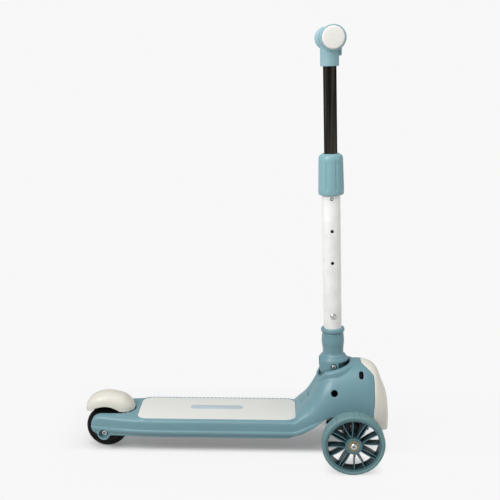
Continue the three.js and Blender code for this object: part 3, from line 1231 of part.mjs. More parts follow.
// Fender that is also the foot brake: a domed loft over the rear wheel, hinged at its front
const fenderShares = [
  [0, 0.23, 0.45], [0.02, 0.43, 0.64], [0.06, 0.59, 0.79], [0.14, 0.77, 0.925], [0.275, 0.93, 0.98],
  [0.45, 1, 1], [0.63, 0.93, 1], [0.785, 0.8, 0.97], [0.888, 0.59, 0.83], [0.96, 0.36, 0.56], [1, 0.12, 0.3],
];
const fenderRear = -HALF_LENGTH + WHEEL_GAP;
function buildFender() {
  const rings = fenderShares.map(([place, rise, width]) => section(
    fenderRear + FENDER_LENGTH * place,
    mix(FENDER_BOTTOM, FENDER_TOP, rise),
    mix(FENDER_BOTTOM, FENDER_TOP, rise * 0.1),
    FENDER_BOTTOM,
    FENDER_HALF_WIDTH * width,
    FENDER_POWER,
  ));
  const arch = REAR_RADIUS + FENDER_CLEARANCE;
  const inner = FENDER_HALF_WIDTH - HOOD_WALL * 1.2;
  const ears = perSide((side) => {
    const shape = new THREE.Shape();
    shape.absarc(brakePinX, BRAKE_PIN_HEIGHT, EAR_RADIUS, Math.PI, Math.PI * 2, false);
    shape.lineTo(brakePinX + EAR_RADIUS, FENDER_BOTTOM + OVERRUN);
    shape.lineTo(brakePinX - EAR_RADIUS, FENDER_BOTTOM + OVERRUN);
    return sideways(shape, ...span(side, EAR_OUTER - EAR_THICKNESS, EAR_OUTER), 8);
  });
  const side = FENDER_HALF_WIDTH + OVERRUN;
  const wheelRoom = [
    along("y", arch, -inner, inner, 48),
    along("y", REAR_RADIUS + FENDER_ARCH_GAP, -side, side, 48),
  ].map((room) => room.translate(rearAxleX, 0, REAR_RADIUS));
  return cut(
    joined(cut(loft(rings), ...wheelRoom), ...ears),
    along("y", BRAKE_PIN_RADIUS + CLEARANCE, -DECK_HALF_WIDTH, DECK_HALF_WIDTH, 12)
      .translate(brakePinX, 0, BRAKE_PIN_HEIGHT),
  );
}
piece("fender", buildFender(), cream);

// Brake shoe: a curved pad under the arch of the fender
function buildShoe() {
  const outer = REAR_RADIUS + FENDER_CLEARANCE - CLEARANCE;
  const shape = new THREE.Shape();
  const [from, to] = [rad(90 - SHOE_ANGLE), rad(90 + SHOE_ANGLE)];
  shape.absarc(rearAxleX, REAR_RADIUS, outer, from, to, false);
  shape.absarc(rearAxleX, REAR_RADIUS, outer - SHOE_THICKNESS, to, from, true);
  return sideways(shape, -SHOE_HALF_WIDTH, SHOE_HALF_WIDTH, 12);
}
piece("brake_shoe", buildShoe(), blackPlastic);
piece("fender_pin", along("y", BRAKE_PIN_RADIUS, -BRAKE_PIN_HALF, BRAKE_PIN_HALF, 16)
  .translate(brakePinX, 0, BRAKE_PIN_HEIGHT), steel);
const brakeCoilRadius = BRAKE_PIN_RADIUS + CLEARANCE * 2 + BRAKE_WIRE;
piece("brake_spring", onY(
  coil("brake_spring", brakeCoilRadius, BRAKE_COIL_WIDTH, BRAKE_TURNS, BRAKE_WIRE), -BRAKE_COIL_WIDTH / 2, 1,
).translate(brakePinX, 0, BRAKE_PIN_HEIGHT), steel);

export default scooter;
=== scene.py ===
import json
import math

import bmesh
import bpy
import numpy as np
from mathutils import Matrix, Vector

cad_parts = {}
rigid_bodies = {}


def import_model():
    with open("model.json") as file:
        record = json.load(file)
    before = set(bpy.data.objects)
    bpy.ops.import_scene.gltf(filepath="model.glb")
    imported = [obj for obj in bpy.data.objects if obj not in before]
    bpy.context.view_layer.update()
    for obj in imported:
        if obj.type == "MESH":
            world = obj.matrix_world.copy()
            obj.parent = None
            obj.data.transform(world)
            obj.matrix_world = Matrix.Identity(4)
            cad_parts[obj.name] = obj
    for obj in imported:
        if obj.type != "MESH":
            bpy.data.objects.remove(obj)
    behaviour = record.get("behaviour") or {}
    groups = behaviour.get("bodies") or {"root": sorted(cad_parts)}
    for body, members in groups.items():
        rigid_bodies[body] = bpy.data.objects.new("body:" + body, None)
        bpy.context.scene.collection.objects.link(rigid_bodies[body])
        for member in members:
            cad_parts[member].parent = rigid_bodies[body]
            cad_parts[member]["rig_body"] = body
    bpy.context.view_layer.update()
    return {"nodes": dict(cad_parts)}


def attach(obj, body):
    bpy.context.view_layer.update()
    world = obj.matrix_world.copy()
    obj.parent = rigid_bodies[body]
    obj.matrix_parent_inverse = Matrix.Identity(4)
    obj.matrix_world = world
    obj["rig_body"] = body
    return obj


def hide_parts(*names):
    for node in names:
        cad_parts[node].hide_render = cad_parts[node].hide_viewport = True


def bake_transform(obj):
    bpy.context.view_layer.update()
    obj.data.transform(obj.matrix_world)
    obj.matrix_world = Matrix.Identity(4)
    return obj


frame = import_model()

# Three wheel kids scooter. Shapes are made in millimetres in the frame of the CAD part
# and scaled to metres when a piece is finished.
MM = 0.001
X, Y = "X", "Y"
SIDES = ((1, "left"), (-1, "right"))

# Sizes of the CAD part
HALF_LENGTH = 304
CLEARANCE = 0.3
REAR_AXLE = (-262, 0, 42)
FRONT_AXLE_X, FRONT_AXLE_HEIGHT = 227.5, 60
STEM_X, PIVOT_HEIGHT, RAKE = 193.7, 181, 1.8
HOOD_START, HOOD_LENGTH = 114, 190
DECK_TOP, DECK_BOTTOM, DECK_HALF = 80, 42, 62
HOOD_TOP, HOOD_HALF = 187.5, 67
SIDE_LINE, ARCH_TOP = 59, 93
ARM_LENGTH = 72
WHEEL_Y = 113.25
BAR_HEIGHT = 629.6
AXLE_RADIUS, AXLE_BORE = 4, 4.3
ARM_OUTER, AXLE_SEAT, WHEEL_SEAT, BEARING_PLACE = 47.5, 36.8, 14.3, 10.5
FENDER_PIN, PIN_HALF = (-222, 0, 70), 36.3
FOLD_SEAT = 26.8
KINGPIN_Y, LEAN_SPRING_Y = 84, 38
TUBE_SCREW_HEIGHT, SMALL_BORE = 101, 2.8
BUTTON_HEIGHT, HOLE_RADIUS, HOLE_PITCH = 332, 3.3, 62.5

# How far a cutting body reaches past the one it cuts
OVER = 10


# Mesh tools
def at(x=0, y=0, z=0):
    return Matrix.Translation((x, y, z))


def turn(degrees, axis):
    return Matrix.Rotation(math.radians(degrees), 4, axis)


def on_y(place, towards=1):
    """Lays a body made along Z onto Y."""
    return at(y=place) @ turn(-90 * towards, X)


def on_x(place):
    return at(x=place) @ turn(90, Y)


STEM = at(STEM_X, 0, PIVOT_HEIGHT) @ turn(-RAKE, Y)
BAR = STEM @ at(z=BAR_HEIGHT)


def rounded(points, closed=False, steps=5):
    """A line of (x, y) or (x, y, radius) points, with each radius rounding its corner."""
    out = []
    count = len(points)
    for i, point in enumerate(points):
        p = Vector(point[:2])
        r = point[2] if len(point) > 2 else 0
        if r <= 0 or (not closed and i in (0, count - 1)):
            out.append(p)
            continue
        a = Vector(points[i - 1][:2]) - p
        b = Vector(points[(i + 1) % count][:2]) - p
        reach = min(r, a.length * 0.49, b.length * 0.49)
        start, end = p + a.normalized() * reach, p + b.normalized() * reach
        for k in range(steps + 1):
            t = k / steps
            out.append(start * (1 - t) ** 2 + p * 2 * t * (1 - t) + end * t * t)
    return [(v.x, v.y) for v in out]


def spun(profile, segments=96, reach=None):
    """A body turned about Z from (radius, height) points. reach(angle, r, z) may change the radius."""
    bm = bmesh.new()
    closed = profile[0][0] > 1e-6
    rings = []
    for r, z in profile:
        if r < 1e-6:
            rings.append([bm.verts.new((0, 0, z))])
            continue
        ring = []
        for i in range(segments):
            a = 2 * math.pi * i / segments
            rr = reach(a, r, z) if reach else r
            ring.append(bm.verts.new((rr * math.cos(a), rr * math.sin(a), z)))
        rings.append(ring)
    pairs = list(zip(rings, rings[1:])) + ([(rings[-1], rings[0])] if closed else [])
    for a, b in pairs:
        for i in range(segments):
            j = (i + 1) % segments
            loop = [a[i % len(a)], a[j % len(a)], b[j % len(b)], b[i % len(b)]]
            loop = list(dict.fromkeys(loop))
            if len(loop) > 2:
                bm.faces.new(loop)
    bmesh.ops.recalc_face_normals(bm, faces=bm.faces)
    return bm


def loft(rings, split=True):
    """A closed body over rings of equally many points. split cuts its ends into triangles."""
    bm = bmesh.new()
    rows = [[bm.verts.new(p) for p in ring] for ring in rings]
    for a, b in zip(rows, rows[1:]):
        for i in range(len(a)):
            j = (i + 1) % len(a)
            bm.faces.new((a[i], a[j], b[j], b[i]))
    bm.faces.new(rows[0][::-1])
    bm.faces.new(rows[-1])
    if split:
        bmesh.ops.triangulate(bm, faces=[f for f in bm.faces if len(f.verts) > 4])
    bmesh.ops.recalc_face_normals(bm, faces=bm.faces)
    return bm


def prism(points, z0, z1, round_top=0, round_bottom=0, steps=4):
    """A flat outline in X-Y raised from z0 to z1, with rounded rims made by shrinking the outline."""
    def inset(amount):
        loop = [Vector(p) for p in points]
        count = len(loop)
        out = []
        for i, p in enumerate(loop):
            a = (p - loop[i - 1]).normalized()
            b = (loop[(i + 1) % count] - p).normalized()
            n = Vector((-(a.y + b.y), a.x + b.x))
            n = n.normalized() if n.length > 1e-9 else Vector((0, 0))
            out.append(p + n * amount / max(0.5, math.sqrt(max(0.25, (1 + a.dot(b)) / 2))))
        return out
    area = sum(x0 * y1 - x1 * y0 for (x0, y0), (x1, y1) in zip(points, points[1:] + points[:1]))
    if area < 0:
        points = points[::-1]
    levels = []
    if round_bottom:
        for k in range(steps):
            a = math.pi / 2 * k / steps
            levels.append((round_bottom * (1 - math.sin(a)), z0 + round_bottom * (1 - math.cos(a))))
        levels.append((0, z0 + round_bottom))
    else:
        levels.append((0, z0))
    if round_top:
        for k in range(steps + 1):
            a = math.pi / 2 * k / steps
            levels.append((round_top * (1 - math.cos(a)), z1 - round_top * (1 - math.sin(a))))
    else:
        levels.append((0, z1))
    return loft([[(p.x, p.y, z) for p in inset(s)] for s, z in levels], split=False)


def moved(bm, *matrices):
    for m in matrices[::-1]:
        bmesh.ops.transform(bm, matrix=m, verts=bm.verts)
    return bm


def block(x0, x1, y0, y1, z0, z1):
    return prism([(x0, y0), (x1, y0), (x1, y1), (x0, y1)], z0, z1)


def rod(radius, length, start=0, segments=64, edge=0):
    end = start + length
    return spun(rounded([(0, start), (radius, start, edge), (radius, end, edge), (0, end)]), segments)


def box_round(x0, x1, y0, y1, r, steps=10):
    """Rounded rectangle as a list of points."""
    corners = ((x1 - r, y0 + r, -90), (x1 - r, y1 - r, 0), (x0 + r, y1 - r, 90), (x0 + r, y0 + r, 180))
    out = []
    for cx, cy, start in corners:
        for k in range(steps + 1):
            a = math.radians(start + 90 * k / steps)
            out.append((cx + r * math.cos(a), cy + r * math.sin(a)))
    return out


def mesh_of(bm, name="shape"):
    mesh = bpy.data.meshes.new(name)
    bm.to_mesh(mesh)
    bm.free()
    return mesh


def scratch(bm):
    obj = bpy.data.objects.new("scratch", mesh_of(bm))
    bpy.context.scene.collection.objects.link(obj)
    return obj


def applied(obj):
    """The mesh of an object with its modifiers applied, and the object removed."""
    graph = bpy.context.evaluated_depsgraph_get()
    graph.update()
    mesh = bpy.data.meshes.new_from_object(obj.evaluated_get(graph))
    old = obj.data
    bpy.data.objects.remove(obj)
    bpy.data.meshes.remove(old)
    bm = bmesh.new()
    bm.from_mesh(mesh)
    bpy.data.meshes.remove(mesh)
    return bm


def boolean(bm, tools, operation="DIFFERENCE"):
    """One body cut by or joined with others, all closed."""
    body = scratch(bm)
    made = []
    for tool in tools:
        other = scratch(tool)
        made.append(other)
        change = body.modifiers.new("change", "BOOLEAN")
        change.operation = operation
        change.solver = "MANIFOLD"
        change.object = other
    out = applied(body)
    for other in made:
        mesh = other.data
        bpy.data.objects.remove(other)
        bpy.data.meshes.remove(mesh)
    return out


def together(bodies):
    """Separate bodies in one mesh."""
    out = bmesh.new()
    for bm in bodies:
        mesh = mesh_of(bm)
        out.from_mesh(mesh)
        bpy.data.meshes.remove(mesh)
    return out


def melted(bm, voxel, smooth):
    """An even skin over closed bodies, so that every edge and joint gets a small radius."""
    obj = scratch(bm)
    skin = obj.modifiers.new("skin", "REMESH")
    skin.mode = "VOXEL"
    skin.voxel_size = voxel
    ease = obj.modifiers.new("ease", "SMOOTH")
    ease.factor = 0.5
    ease.iterations = smooth
    return applied(obj)


def piece(name, bm, body, slot, nodes, place=(), smooth=38, look=None):
    """Makes a finished piece: placed, scaled to metres, shaded, coloured and riding on its body, or left
    unattached in place when given two.
    """
    moved(bm, *place)
    bmesh.ops.scale(bm, vec=(MM, MM, MM), verts=bm.verts)
    mesh = mesh_of(bm, name)
    mesh.shade_smooth()
    mesh.set_sharp_from_angle(angle=math.radians(smooth))
    mesh.materials.append(MATERIALS[look or slot])
    obj = bpy.data.objects.new(name, mesh)
    bpy.context.scene.collection.objects.link(obj)
    if isinstance(body, str):
        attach(obj, body)
    else:
        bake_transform(obj)
    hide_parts(*nodes)


def refined(node, slot, edge):
    """A CAD node's shape with its flats merged and its edges rounded."""
    source = frame["nodes"][node]
    flat, sharp = math.radians(1.2), math.radians(32)
    bm = bmesh.new()
    bm.from_mesh(source.data)
    bmesh.ops.remove_doubles(bm, verts=bm.verts, dist=1e-6)
    bmesh.ops.dissolve_limit(bm, angle_limit=flat, verts=bm.verts, edges=bm.edges)
    bmesh.ops.scale(bm, vec=(1 / MM, 1 / MM, 1 / MM), verts=bm.verts)
    edges = [e for e in bm.edges if len(e.link_faces) == 2 and e.calc_face_angle(0) > sharp]
    bmesh.ops.bevel(bm, geom=edges, offset=edge, segments=2, profile=0.5, affect="EDGES", clamp_overlap=True)
    piece(node + "_finish", bm, source["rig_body"], slot, [node])


# Materials
MATERIALS = {}
DUST_TONE = 0.4


class Nodes:
    """Short calls for a material's node tree."""

    def __init__(self, name):
        self.material = bpy.data.materials.new(name)
        self.material.use_nodes = True
        self.tree = self.material.node_tree
        self.shader = self.tree.nodes["Principled BSDF"]
        self.place = self.add("ShaderNodeTexCoord").outputs["Object"]

    def add(self, kind, inputs=(), **values):
        node = self.tree.nodes.new(kind)
        for key, value in values.items():
            setattr(node, key, value)
        for key, value in dict(inputs).items():
            if isinstance(value, bpy.types.NodeSocket):
                self.tree.links.new(value, node.inputs[key])
            else:
                node.inputs[key].default_value = value
        return node

    def noise(self, scale, detail, stretch=None, rough=0.5):
        place = self.place
        if stretch:
            place = self.add("ShaderNodeMapping", {"Vector": place, "Scale": stretch}).outputs["Vector"]
        inputs = {"Vector": place, "Scale": scale, "Detail": detail, "Roughness": rough}
        return self.add("ShaderNodeTexNoise", inputs).outputs["Fac"]

    def span(self, value, low, high, start=0.0, end=1.0, **values):
        """A value between low and high carried to start and end."""
        inputs = {"Value": value, "From Min": low, "From Max": high, "To Min": start, "To Max": end}
        return self.add("ShaderNodeMapRange", inputs, **values).outputs["Result"]

    def combined(self, operation, *parts):
        """Values multiplied, added or compared one after another."""
        total = parts[0]
        for part in parts[1:]:
            total = self.add("ShaderNodeMath", {0: total, 1: part}, operation=operation).outputs[0]
        return total

    def mix(self, share, a, b, kind="MIX"):
        node = self.add("ShaderNodeMix", data_type="RGBA", blend_type=kind)
        for index, value in ((0, share), (6, a), (7, b)):
            if isinstance(value, bpy.types.NodeSocket):
                self.tree.links.new(value, node.inputs[index])
            else:
                node.inputs[index].default_value = value if index == 0 else (*value[:3], 1)
        return node.outputs[2]

    def join(self, socket, name):
        self.tree.links.new(socket, self.shader.inputs[name])

    def bump(self, height, strength, distance, normal=None):
        inputs = {"Height": height, "Strength": strength, "Distance": distance}
        if normal:
            inputs["Normal"] = normal
        return self.add("ShaderNodeBump", inputs).outputs["Normal"]

    def edges(self, low=0.52, high=0.62):
        """Where the surface is worn: its outer edges."""
        return self.span(self.add("ShaderNodeNewGeometry").outputs["Pointiness"], low, high)


def tone(color, k):
    return tuple(min(1.0, c * k) for c in color)


def plastic(slot, color, rough, grain, grain_scale=1400, wear=0.25, specular=0.5, cloud=0.05,
            painted_rib_shading=None):
    """Moulded plastic: fine grain, slight clouding, scuffs that roughen it, lighter worn edges."""
    n = Nodes(slot)
    n.shader.inputs["Specular IOR Level"].default_value = specular
    clouds = n.noise(9, 2)
    flecks = n.noise(420, 2)
    base = n.mix(n.span(clouds, 0.3, 0.7), tone(color, 1 - cloud), tone(color, 1 + cloud))
    base = n.mix(n.span(flecks, 0.62, 0.8, 0, 0.12), base, tone(color, 1.25))
    scuffs = n.span(n.noise(60, 6, stretch=(1, 4, 7), rough=0.7), 0.6, 0.75)
    base = n.mix(n.span(scuffs, 0, 1, 0, 0.06), base, tone(color, 1.3))
    worn = n.combined("MULTIPLY", n.edges(), n.span(n.noise(140, 4), 0.45, 0.6))
    base = n.mix(n.span(worn, 0, 1, 0, wear), base, tone(color, 1.5))
    if painted_rib_shading:
        # Painted light and shade: faces square to the axle are painted lighter, and the walls between the
        # ribs are painted darker where shade falls between them
        normal = n.add("ShaderNodeTexCoord").outputs["Normal"]
        facing = n.add("ShaderNodeSeparateXYZ", {0: normal}).outputs["Y"]
        square = n.add("ShaderNodeMath", {0: facing}, operation="ABSOLUTE").outputs[0]
        level = n.span(square, 0.35, 0.95, *painted_rib_shading)
        painted_shading = n.add("ShaderNodeCombineXYZ", {0: level, 1: level, 2: level}).outputs[0]
        base = n.mix(1.0, base, painted_shading, "MULTIPLY")
    n.join(base, "Base Color")
    rough_map = n.span(n.noise(35, 5), 0.3, 0.7, rough - 0.05, rough + 0.06)
    n.join(n.combined("ADD", rough_map, n.span(scuffs, 0, 1, 0, 0.12)), "Roughness")
    broad = n.bump(n.noise(12, 1), 0.06, 0.0015)
    n.join(n.bump(n.noise(grain_scale, 3, rough=0.6), grain, 0.00012, broad), "Normal")
    MATERIALS[slot] = n.material


def metal(slot, color, rough, scale, bump=0.12, metallic=1.0, spread=0.1, coat=0.0):
    """Plated or brushed metal with fine streaks and dull patches."""
    n = Nodes(slot)
    n.shader.inputs["Metallic"].default_value = metallic
    n.shader.inputs["Coat Weight"].default_value = coat
    lines = n.noise(scale, 4)
    patches = n.noise(25, 5)
    n.join(n.mix(n.span(patches, 0.35, 0.7), tone(color, 0.88), tone(color, 1.06)), "Base Color")
    n.join(n.combined("ADD", n.span(lines, 0.3, 0.7, rough - spread, rough + spread),
                      n.span(patches, 0.5, 0.75, 0, spread)), "Roughness")
    n.join(n.bump(lines, bump, 0.00005), "Normal")
    MATERIALS[slot] = n.material


def rubber(slot, color, rough, grain, dust, specular):
    """Cast tyre: matt, finely pitted, with pale dust on the outer edges."""
    n = Nodes(slot)
    n.shader.inputs["Specular IOR Level"].default_value = specular
    base = n.mix(n.span(n.noise(22, 4), 0.3, 0.7), tone(color, 0.93), tone(color, 1.07))
    dirt = n.combined("MULTIPLY", n.edges(0.5, 0.62), n.span(n.noise(90, 5), 0.4, 0.65))
    pale = tuple(0.5 * c + 0.5 * DUST_TONE for c in color)
    n.join(n.mix(n.span(dirt, 0, 1, 0, dust), base, pale), "Base Color")
    n.join(n.span(n.noise(60, 4), 0.3, 0.7, rough - 0.08, rough + 0.08), "Roughness")
    n.join(n.bump(n.noise(700, 4, rough=0.65), grain, 0.00015), "Normal")
    MATERIALS[slot] = n.material


BODY_BLUE = (0.160, 0.303, 0.347)
COLLAR_BLUE = (0.232, 0.425, 0.467)
GRIP_BLUE = (0.305, 0.490, 0.545)
CREAM = (0.77, 0.745, 0.66)
plastic("body_blue", BODY_BLUE, rough=0.40, grain=0.12)
# Painted shade: the stem base is the body's blue plastic, made darker for the weaker light low down
plastic("shaded_base_blue", tone(BODY_BLUE, 0.93), rough=0.36, grain=0.1)
plastic("cream_plastic", CREAM, rough=0.45, grain=0.15, cloud=0.02)
# Painted shade: the fender is the cover's cream plastic, made darker
plastic("shaded_fender_cream", tone(CREAM, 0.85), rough=0.4, grain=0.15, cloud=0.02)
plastic("pad_plastic", (0.715, 0.715, 0.68), rough=0.62, grain=0.5, grain_scale=900, cloud=0.02)
plastic("black_plastic", (0.010, 0.010, 0.011), rough=0.5, grain=0.3, wear=0.1, specular=0.35)
plastic("badge_blue", (0.47, 0.555, 0.60), rough=0.45, grain=0.1)
plastic("collar_plastic", COLLAR_BLUE, rough=0.36, grain=0.08)
plastic("grip_rubber", GRIP_BLUE, rough=0.5, grain=0.3)
plastic("white_plastic", (0.82, 0.81, 0.77), rough=0.25, grain=0.05, cloud=0.01)
# The front wheel's core gets painted shade on the walls between its ribs and painted light on its faces
# square to the axle
plastic("front_wheel_blue", (0.050, 0.125, 0.145), rough=0.38, grain=0.1, wear=0.5, painted_rib_shading=(0.45, 1.35))
rubber("front_tyre_pu", (0.140, 0.258, 0.270), rough=0.5, grain=0.2, dust=0.2, specular=0.45)
rubber("rear_tyre_rubber", (0.004, 0.004, 0.0045), rough=0.5, grain=0.25, dust=0.02, specular=0.12)
metal("steel", (0.62, 0.62, 0.63), rough=0.25, scale=500)
metal("bearing_steel", (0.29, 0.255, 0.15), rough=0.25, scale=500)
metal("spring_steel", (0.30, 0.30, 0.31), rough=0.35, scale=500)
metal("black_steel", (0.018, 0.018, 0.020), rough=0.45, metallic=0.25, scale=900, bump=0.25)
metal("white_paint", (0.93, 0.925, 0.905), rough=0.28, metallic=0.0, scale=900, bump=0.1, spread=0.04,
      coat=0.3)


def dark_chrome():
    """Dark plating with soft streaks along the tube painted into its colour as reflections, and fine polish
    lines painted lighter as sheen.
    """
    n = Nodes("dark_chrome")
    n.shader.inputs["Metallic"].default_value = 1.0
    n.shader.inputs["Specular Tint"].default_value = (0.12, 0.11, 0.10, 1)
    reflection_bands = n.noise(150, 2, stretch=(1, 1, 0.004))
    fine = n.noise(700, 3, stretch=(1, 1, 0.01))
    # Painted reflections: broad light and dark streaks along the tube
    base = n.mix(n.span(reflection_bands, 0.42, 0.6), (0.013, 0.0115, 0.010), (0.075, 0.067, 0.054))
    # Painted sheen: the fine polish lines are a little lighter
    base = n.mix(n.span(fine, 0.4, 0.7, 0, 0.35), base, (0.10, 0.094, 0.084))
    n.join(base, "Base Color")
    n.join(n.span(n.noise(40, 4), 0.3, 0.7, 0.13, 0.24), "Roughness")
    n.join(n.bump(fine, 0.05, 0.00004), "Normal")
    MATERIALS["dark_chrome"] = n.material


dark_chrome()


# Camera, floor and light
scene = bpy.context.scene
scene.view_settings.view_transform = "Standard"

PITCH, YAW = 12.88, 1.66
camera = bpy.data.objects.new("camera", bpy.data.cameras.new("camera"))
camera.data.sensor_width = 36
camera.data.lens = 64.87
camera.data.clip_end = 100
camera.location = (0.0774, -1.70415, 0.79917)
camera.rotation_euler = (math.radians(90 - PITCH), 0, math.radians(YAW))
scene.collection.objects.link(camera)
scene.camera = camera

BACKGROUND = (0.935, 0.935, 0.935, 1)

FLOOR_TONE, FLOOR_FLECK = 0.82, 0.01
BOUNCE_SHARE = 0.45
GLOW_SHARE = 0.2
# Soft edges of the shadows: axis, start and end in metres, share at the start and at the end
SHADOW_SHARES = (
    (X, -0.40, -0.27, 0, 1), (X, 0.21, 0.32, 1, 0.06),
    (Y, -0.8, -0.4, 0, 1), (Y, -0.04, -0.01, 0.07, 1), (Y, 0.10, 0.34, 1, 0),
)
WHEEL_SHADOW_SHARES = (
    (X, 0.16, 0.21, 0, 1), (X, 0.245, 0.295, 1, 0), (Y, -0.15, -0.10, 0, 1), (Y, -0.08, -0.03, 0.7, 0),
)


def stage_floor():
    """A pale floor that keeps the scooter's shadow and fades into the plain background around it."""
    bm = bmesh.new()
    bmesh.ops.create_grid(bm, x_segments=24, y_segments=24, size=8)
    obj = bpy.data.objects.new("floor", mesh_of(bm, "floor"))
    scene.collection.objects.link(obj)
    n = Nodes("floor")
    n.shader.inputs["Roughness"].default_value = 0.9
    n.shader.inputs["Specular IOR Level"].default_value = 0.1
    ray = n.add("ShaderNodeLightPath").outputs
    shade = n.span(n.noise(60, 2), 0, 1, FLOOR_TONE - FLOOR_FLECK, FLOOR_TONE + FLOOR_FLECK)
    bounce = n.span(ray["Is Diffuse Ray"], 0, 1, 1, BOUNCE_SHARE)
    n.join(n.combined("MULTIPLY", shade, bounce), "Base Color")
    glow = n.add("ShaderNodeEmission", {"Color": BACKGROUND})
    place = n.add("ShaderNodeSeparateXYZ", {0: n.place}).outputs

    def patch(shares):
        """A part of the floor with soft edges."""
        return n.combined("MULTIPLY", *[n.span(place[axis], *values, interpolation_type="SMOOTHSTEP")
                                        for axis, *values in shares])

    shadow = n.combined("MAXIMUM", patch(SHADOW_SHARES), patch(WHEEL_SHADOW_SHARES))
    fade = n.span(shadow, 0, 1, 1, GLOW_SHARE)
    seen = n.combined("MAXIMUM", ray["Is Camera Ray"], ray["Is Glossy Ray"], ray["Is Transmission Ray"])
    share = n.combined("MULTIPLY", seen, fade)
    mix = n.add("ShaderNodeMixShader", {0: share, 1: n.shader.outputs[0], 2: glow.outputs[0]})
    n.tree.links.new(mix.outputs[0], n.tree.nodes["Material Output"].inputs["Surface"])
    obj.data.materials.append(n.material)


def stage_world(strength):
    """Soft white light from all round, which the camera sees as the plain background."""
    world = bpy.data.worlds.new("studio")
    scene.world = world
    world.use_nodes = True
    tree = world.node_tree
    tree.nodes.clear()
    new, link = tree.nodes.new, tree.links.new
    out = new("ShaderNodeOutputWorld")
    soft = new("ShaderNodeBackground")
    soft.inputs["Color"].default_value = (1, 1, 1, 1)
    soft.inputs["Strength"].default_value = strength
    plain = new("ShaderNodeBackground")
    plain.inputs["Color"].default_value = BACKGROUND
    path = new("ShaderNodeLightPath")
    seen = new("ShaderNodeMath")
    seen.operation = "MAXIMUM"
    link(path.outputs["Is Camera Ray"], seen.inputs[0])
    link(path.outputs["Is Transmission Ray"], seen.inputs[1])
    mix = new("ShaderNodeMixShader")
    link(seen.outputs[0], mix.inputs["Fac"])
    link(soft.outputs[0], mix.inputs[1])
    link(plain.outputs[0], mix.inputs[2])
    link(mix.outputs[0], out.inputs["Surface"])


def lamp(name, energy, size, place, target):
    data = bpy.data.lights.new(name, "AREA")
    data.energy = energy
    data.shape = "RECTANGLE"
    data.size, data.size_y = size
    obj = bpy.data.objects.new(name, data)
    obj.location = place
    obj.rotation_euler = (Vector(target) - Vector(place)).to_track_quat("-Z", "Y").to_euler()
    scene.collection.objects.link(obj)
    return obj


stage_floor()
stage_world(0.42)
lamp("key", 46, (1.1, 0.9), (-1.35, -1.75, 1.9), (0, 0, 0.25))
lamp("top", 18, (1.4, 1.0), (-0.3, -0.7, 2.5), (0, 0, 0.1))
lamp("fill", 9, (1.0, 1.2), (2.0, 0.0, 0.85), (0.2, 0, 0.35)).visible_glossy = False


# Deck and hood
def smooth_rows(rows, places):
    """Rows of numbers taken at finer places of their first column, without overshoot."""
    table = np.array(rows, float)
    x = table[:, 0]
    h = np.diff(x)
    out = [np.array(places, float)]
    where = np.clip(np.searchsorted(x, places, side="right") - 1, 0, len(x) - 2)
    t = (np.array(places) - x[where]) / h[where]
    for column in table.T[1:]:
        slope = np.diff(column) / h
        m = np.zeros(len(x))
        for i in range(1, len(x) - 1):
            if slope[i - 1] * slope[i] > 0:
                w1, w2 = 2 * h[i] + h[i - 1], h[i] + 2 * h[i - 1]
                m[i] = (w1 + w2) / (w1 / slope[i - 1] + w2 / slope[i])
        m[0], m[-1] = slope[0], slope[-1]
        a, b = column[where], column[where + 1]
        ma, mb = m[where] * h[where], m[where + 1] * h[where]
        out.append((2 * t**3 - 3 * t**2 + 1) * a + (t**3 - 2 * t**2 + t) * ma
                   + (3 * t**2 - 2 * t**3) * b + (t**3 - t**2) * mb)
    return np.array(out).T


def finer(rows, steps):
    x = [row[0] for row in rows]
    places = [a + (b - a) * k / steps for a, b in zip(x, x[1:]) for k in range(steps)] + [x[-1]]
    return smooth_rows(rows, places)


# Place along the arm, height of the top, rise of the underside, half width
ARM_SHARES = [
    (-0.354, 0.526, 0.263, 0.71), (-0.333, 0.684, 0.158, 0.72), (-0.278, 0.855, 0.066, 0.735),
    (-0.194, 0.953, -0.026, 0.75), (-0.083, 1, -0.066, 0.762), (0.097, 1, -0.066, 0.8),
    (0.375, 1, -0.04, 0.86), (0.653, 1, -0.013, 0.92), (1, 1, 0, 0.968), (1.56, 1, 0, 1),
]
# Place along the hood, rise, change from deck to hood, roundness, half width, side line, underside
HOOD_SHARES = [
    (-0.074, 0, 0, 0, 1, 1, 0), (0, 0, 0, 0.06, 1, 1, 0), (0.021, 0.01, 0.03, 0.2, 1, 1, 0),
    (0.047, 0.068, 0.08, 0.45, 1, 1, 0), (0.074, 0.13, 0.15, 0.65, 1, 1, 0),
    (0.111, 0.21, 0.26, 0.8, 1, 1, 0), (0.147, 0.295, 0.38, 0.9, 1, 1, 0),
    (0.189, 0.425, 0.5, 0.96, 1, 1, 0), (0.221, 0.54, 0.6, 1, 1, 1, 0), (0.253, 0.65, 0.7, 1, 1, 1, 0),
    (0.284, 0.755, 0.78, 1, 1, 1, 0), (0.332, 0.86, 0.9, 1, 1, 1, 0), (0.4, 0.935, 1, 1, 1, 1, 0),
    (0.489, 0.975, 1, 1, 1, 1, 0), (0.584, 0.995, 1, 1, 1, 1, 0), (0.679, 1, 1, 1, 1, 1, 0),
    (0.742, 0.987, 1, 1, 1, 1, 0), (0.795, 0.958, 1, 1, 0.985, 1, 0.3),
    (0.847, 0.898, 1, 1, 0.95, 1, 0.48), (0.884, 0.81, 1, 1, 0.895, 1, 0.5),
    (0.916, 0.67, 1, 1, 0.843, 1, 0.48), (0.942, 0.555, 1, 1, 0.776, 1, 0.45),
    (0.963, 0.475, 1, 1, 0.7, 0.92, 0.41), (0.979, 0.37, 1, 1, 0.61, 0.84, 0.37),
    (0.989, 0.2, 1, 1, 0.49, 0.72, 0.34), (0.997, 0.05, 1, 1, 0.36, 0.6, 0.36),
    (1, -0.037, 1, 1, 0.27, 0.5, 0.42),
]
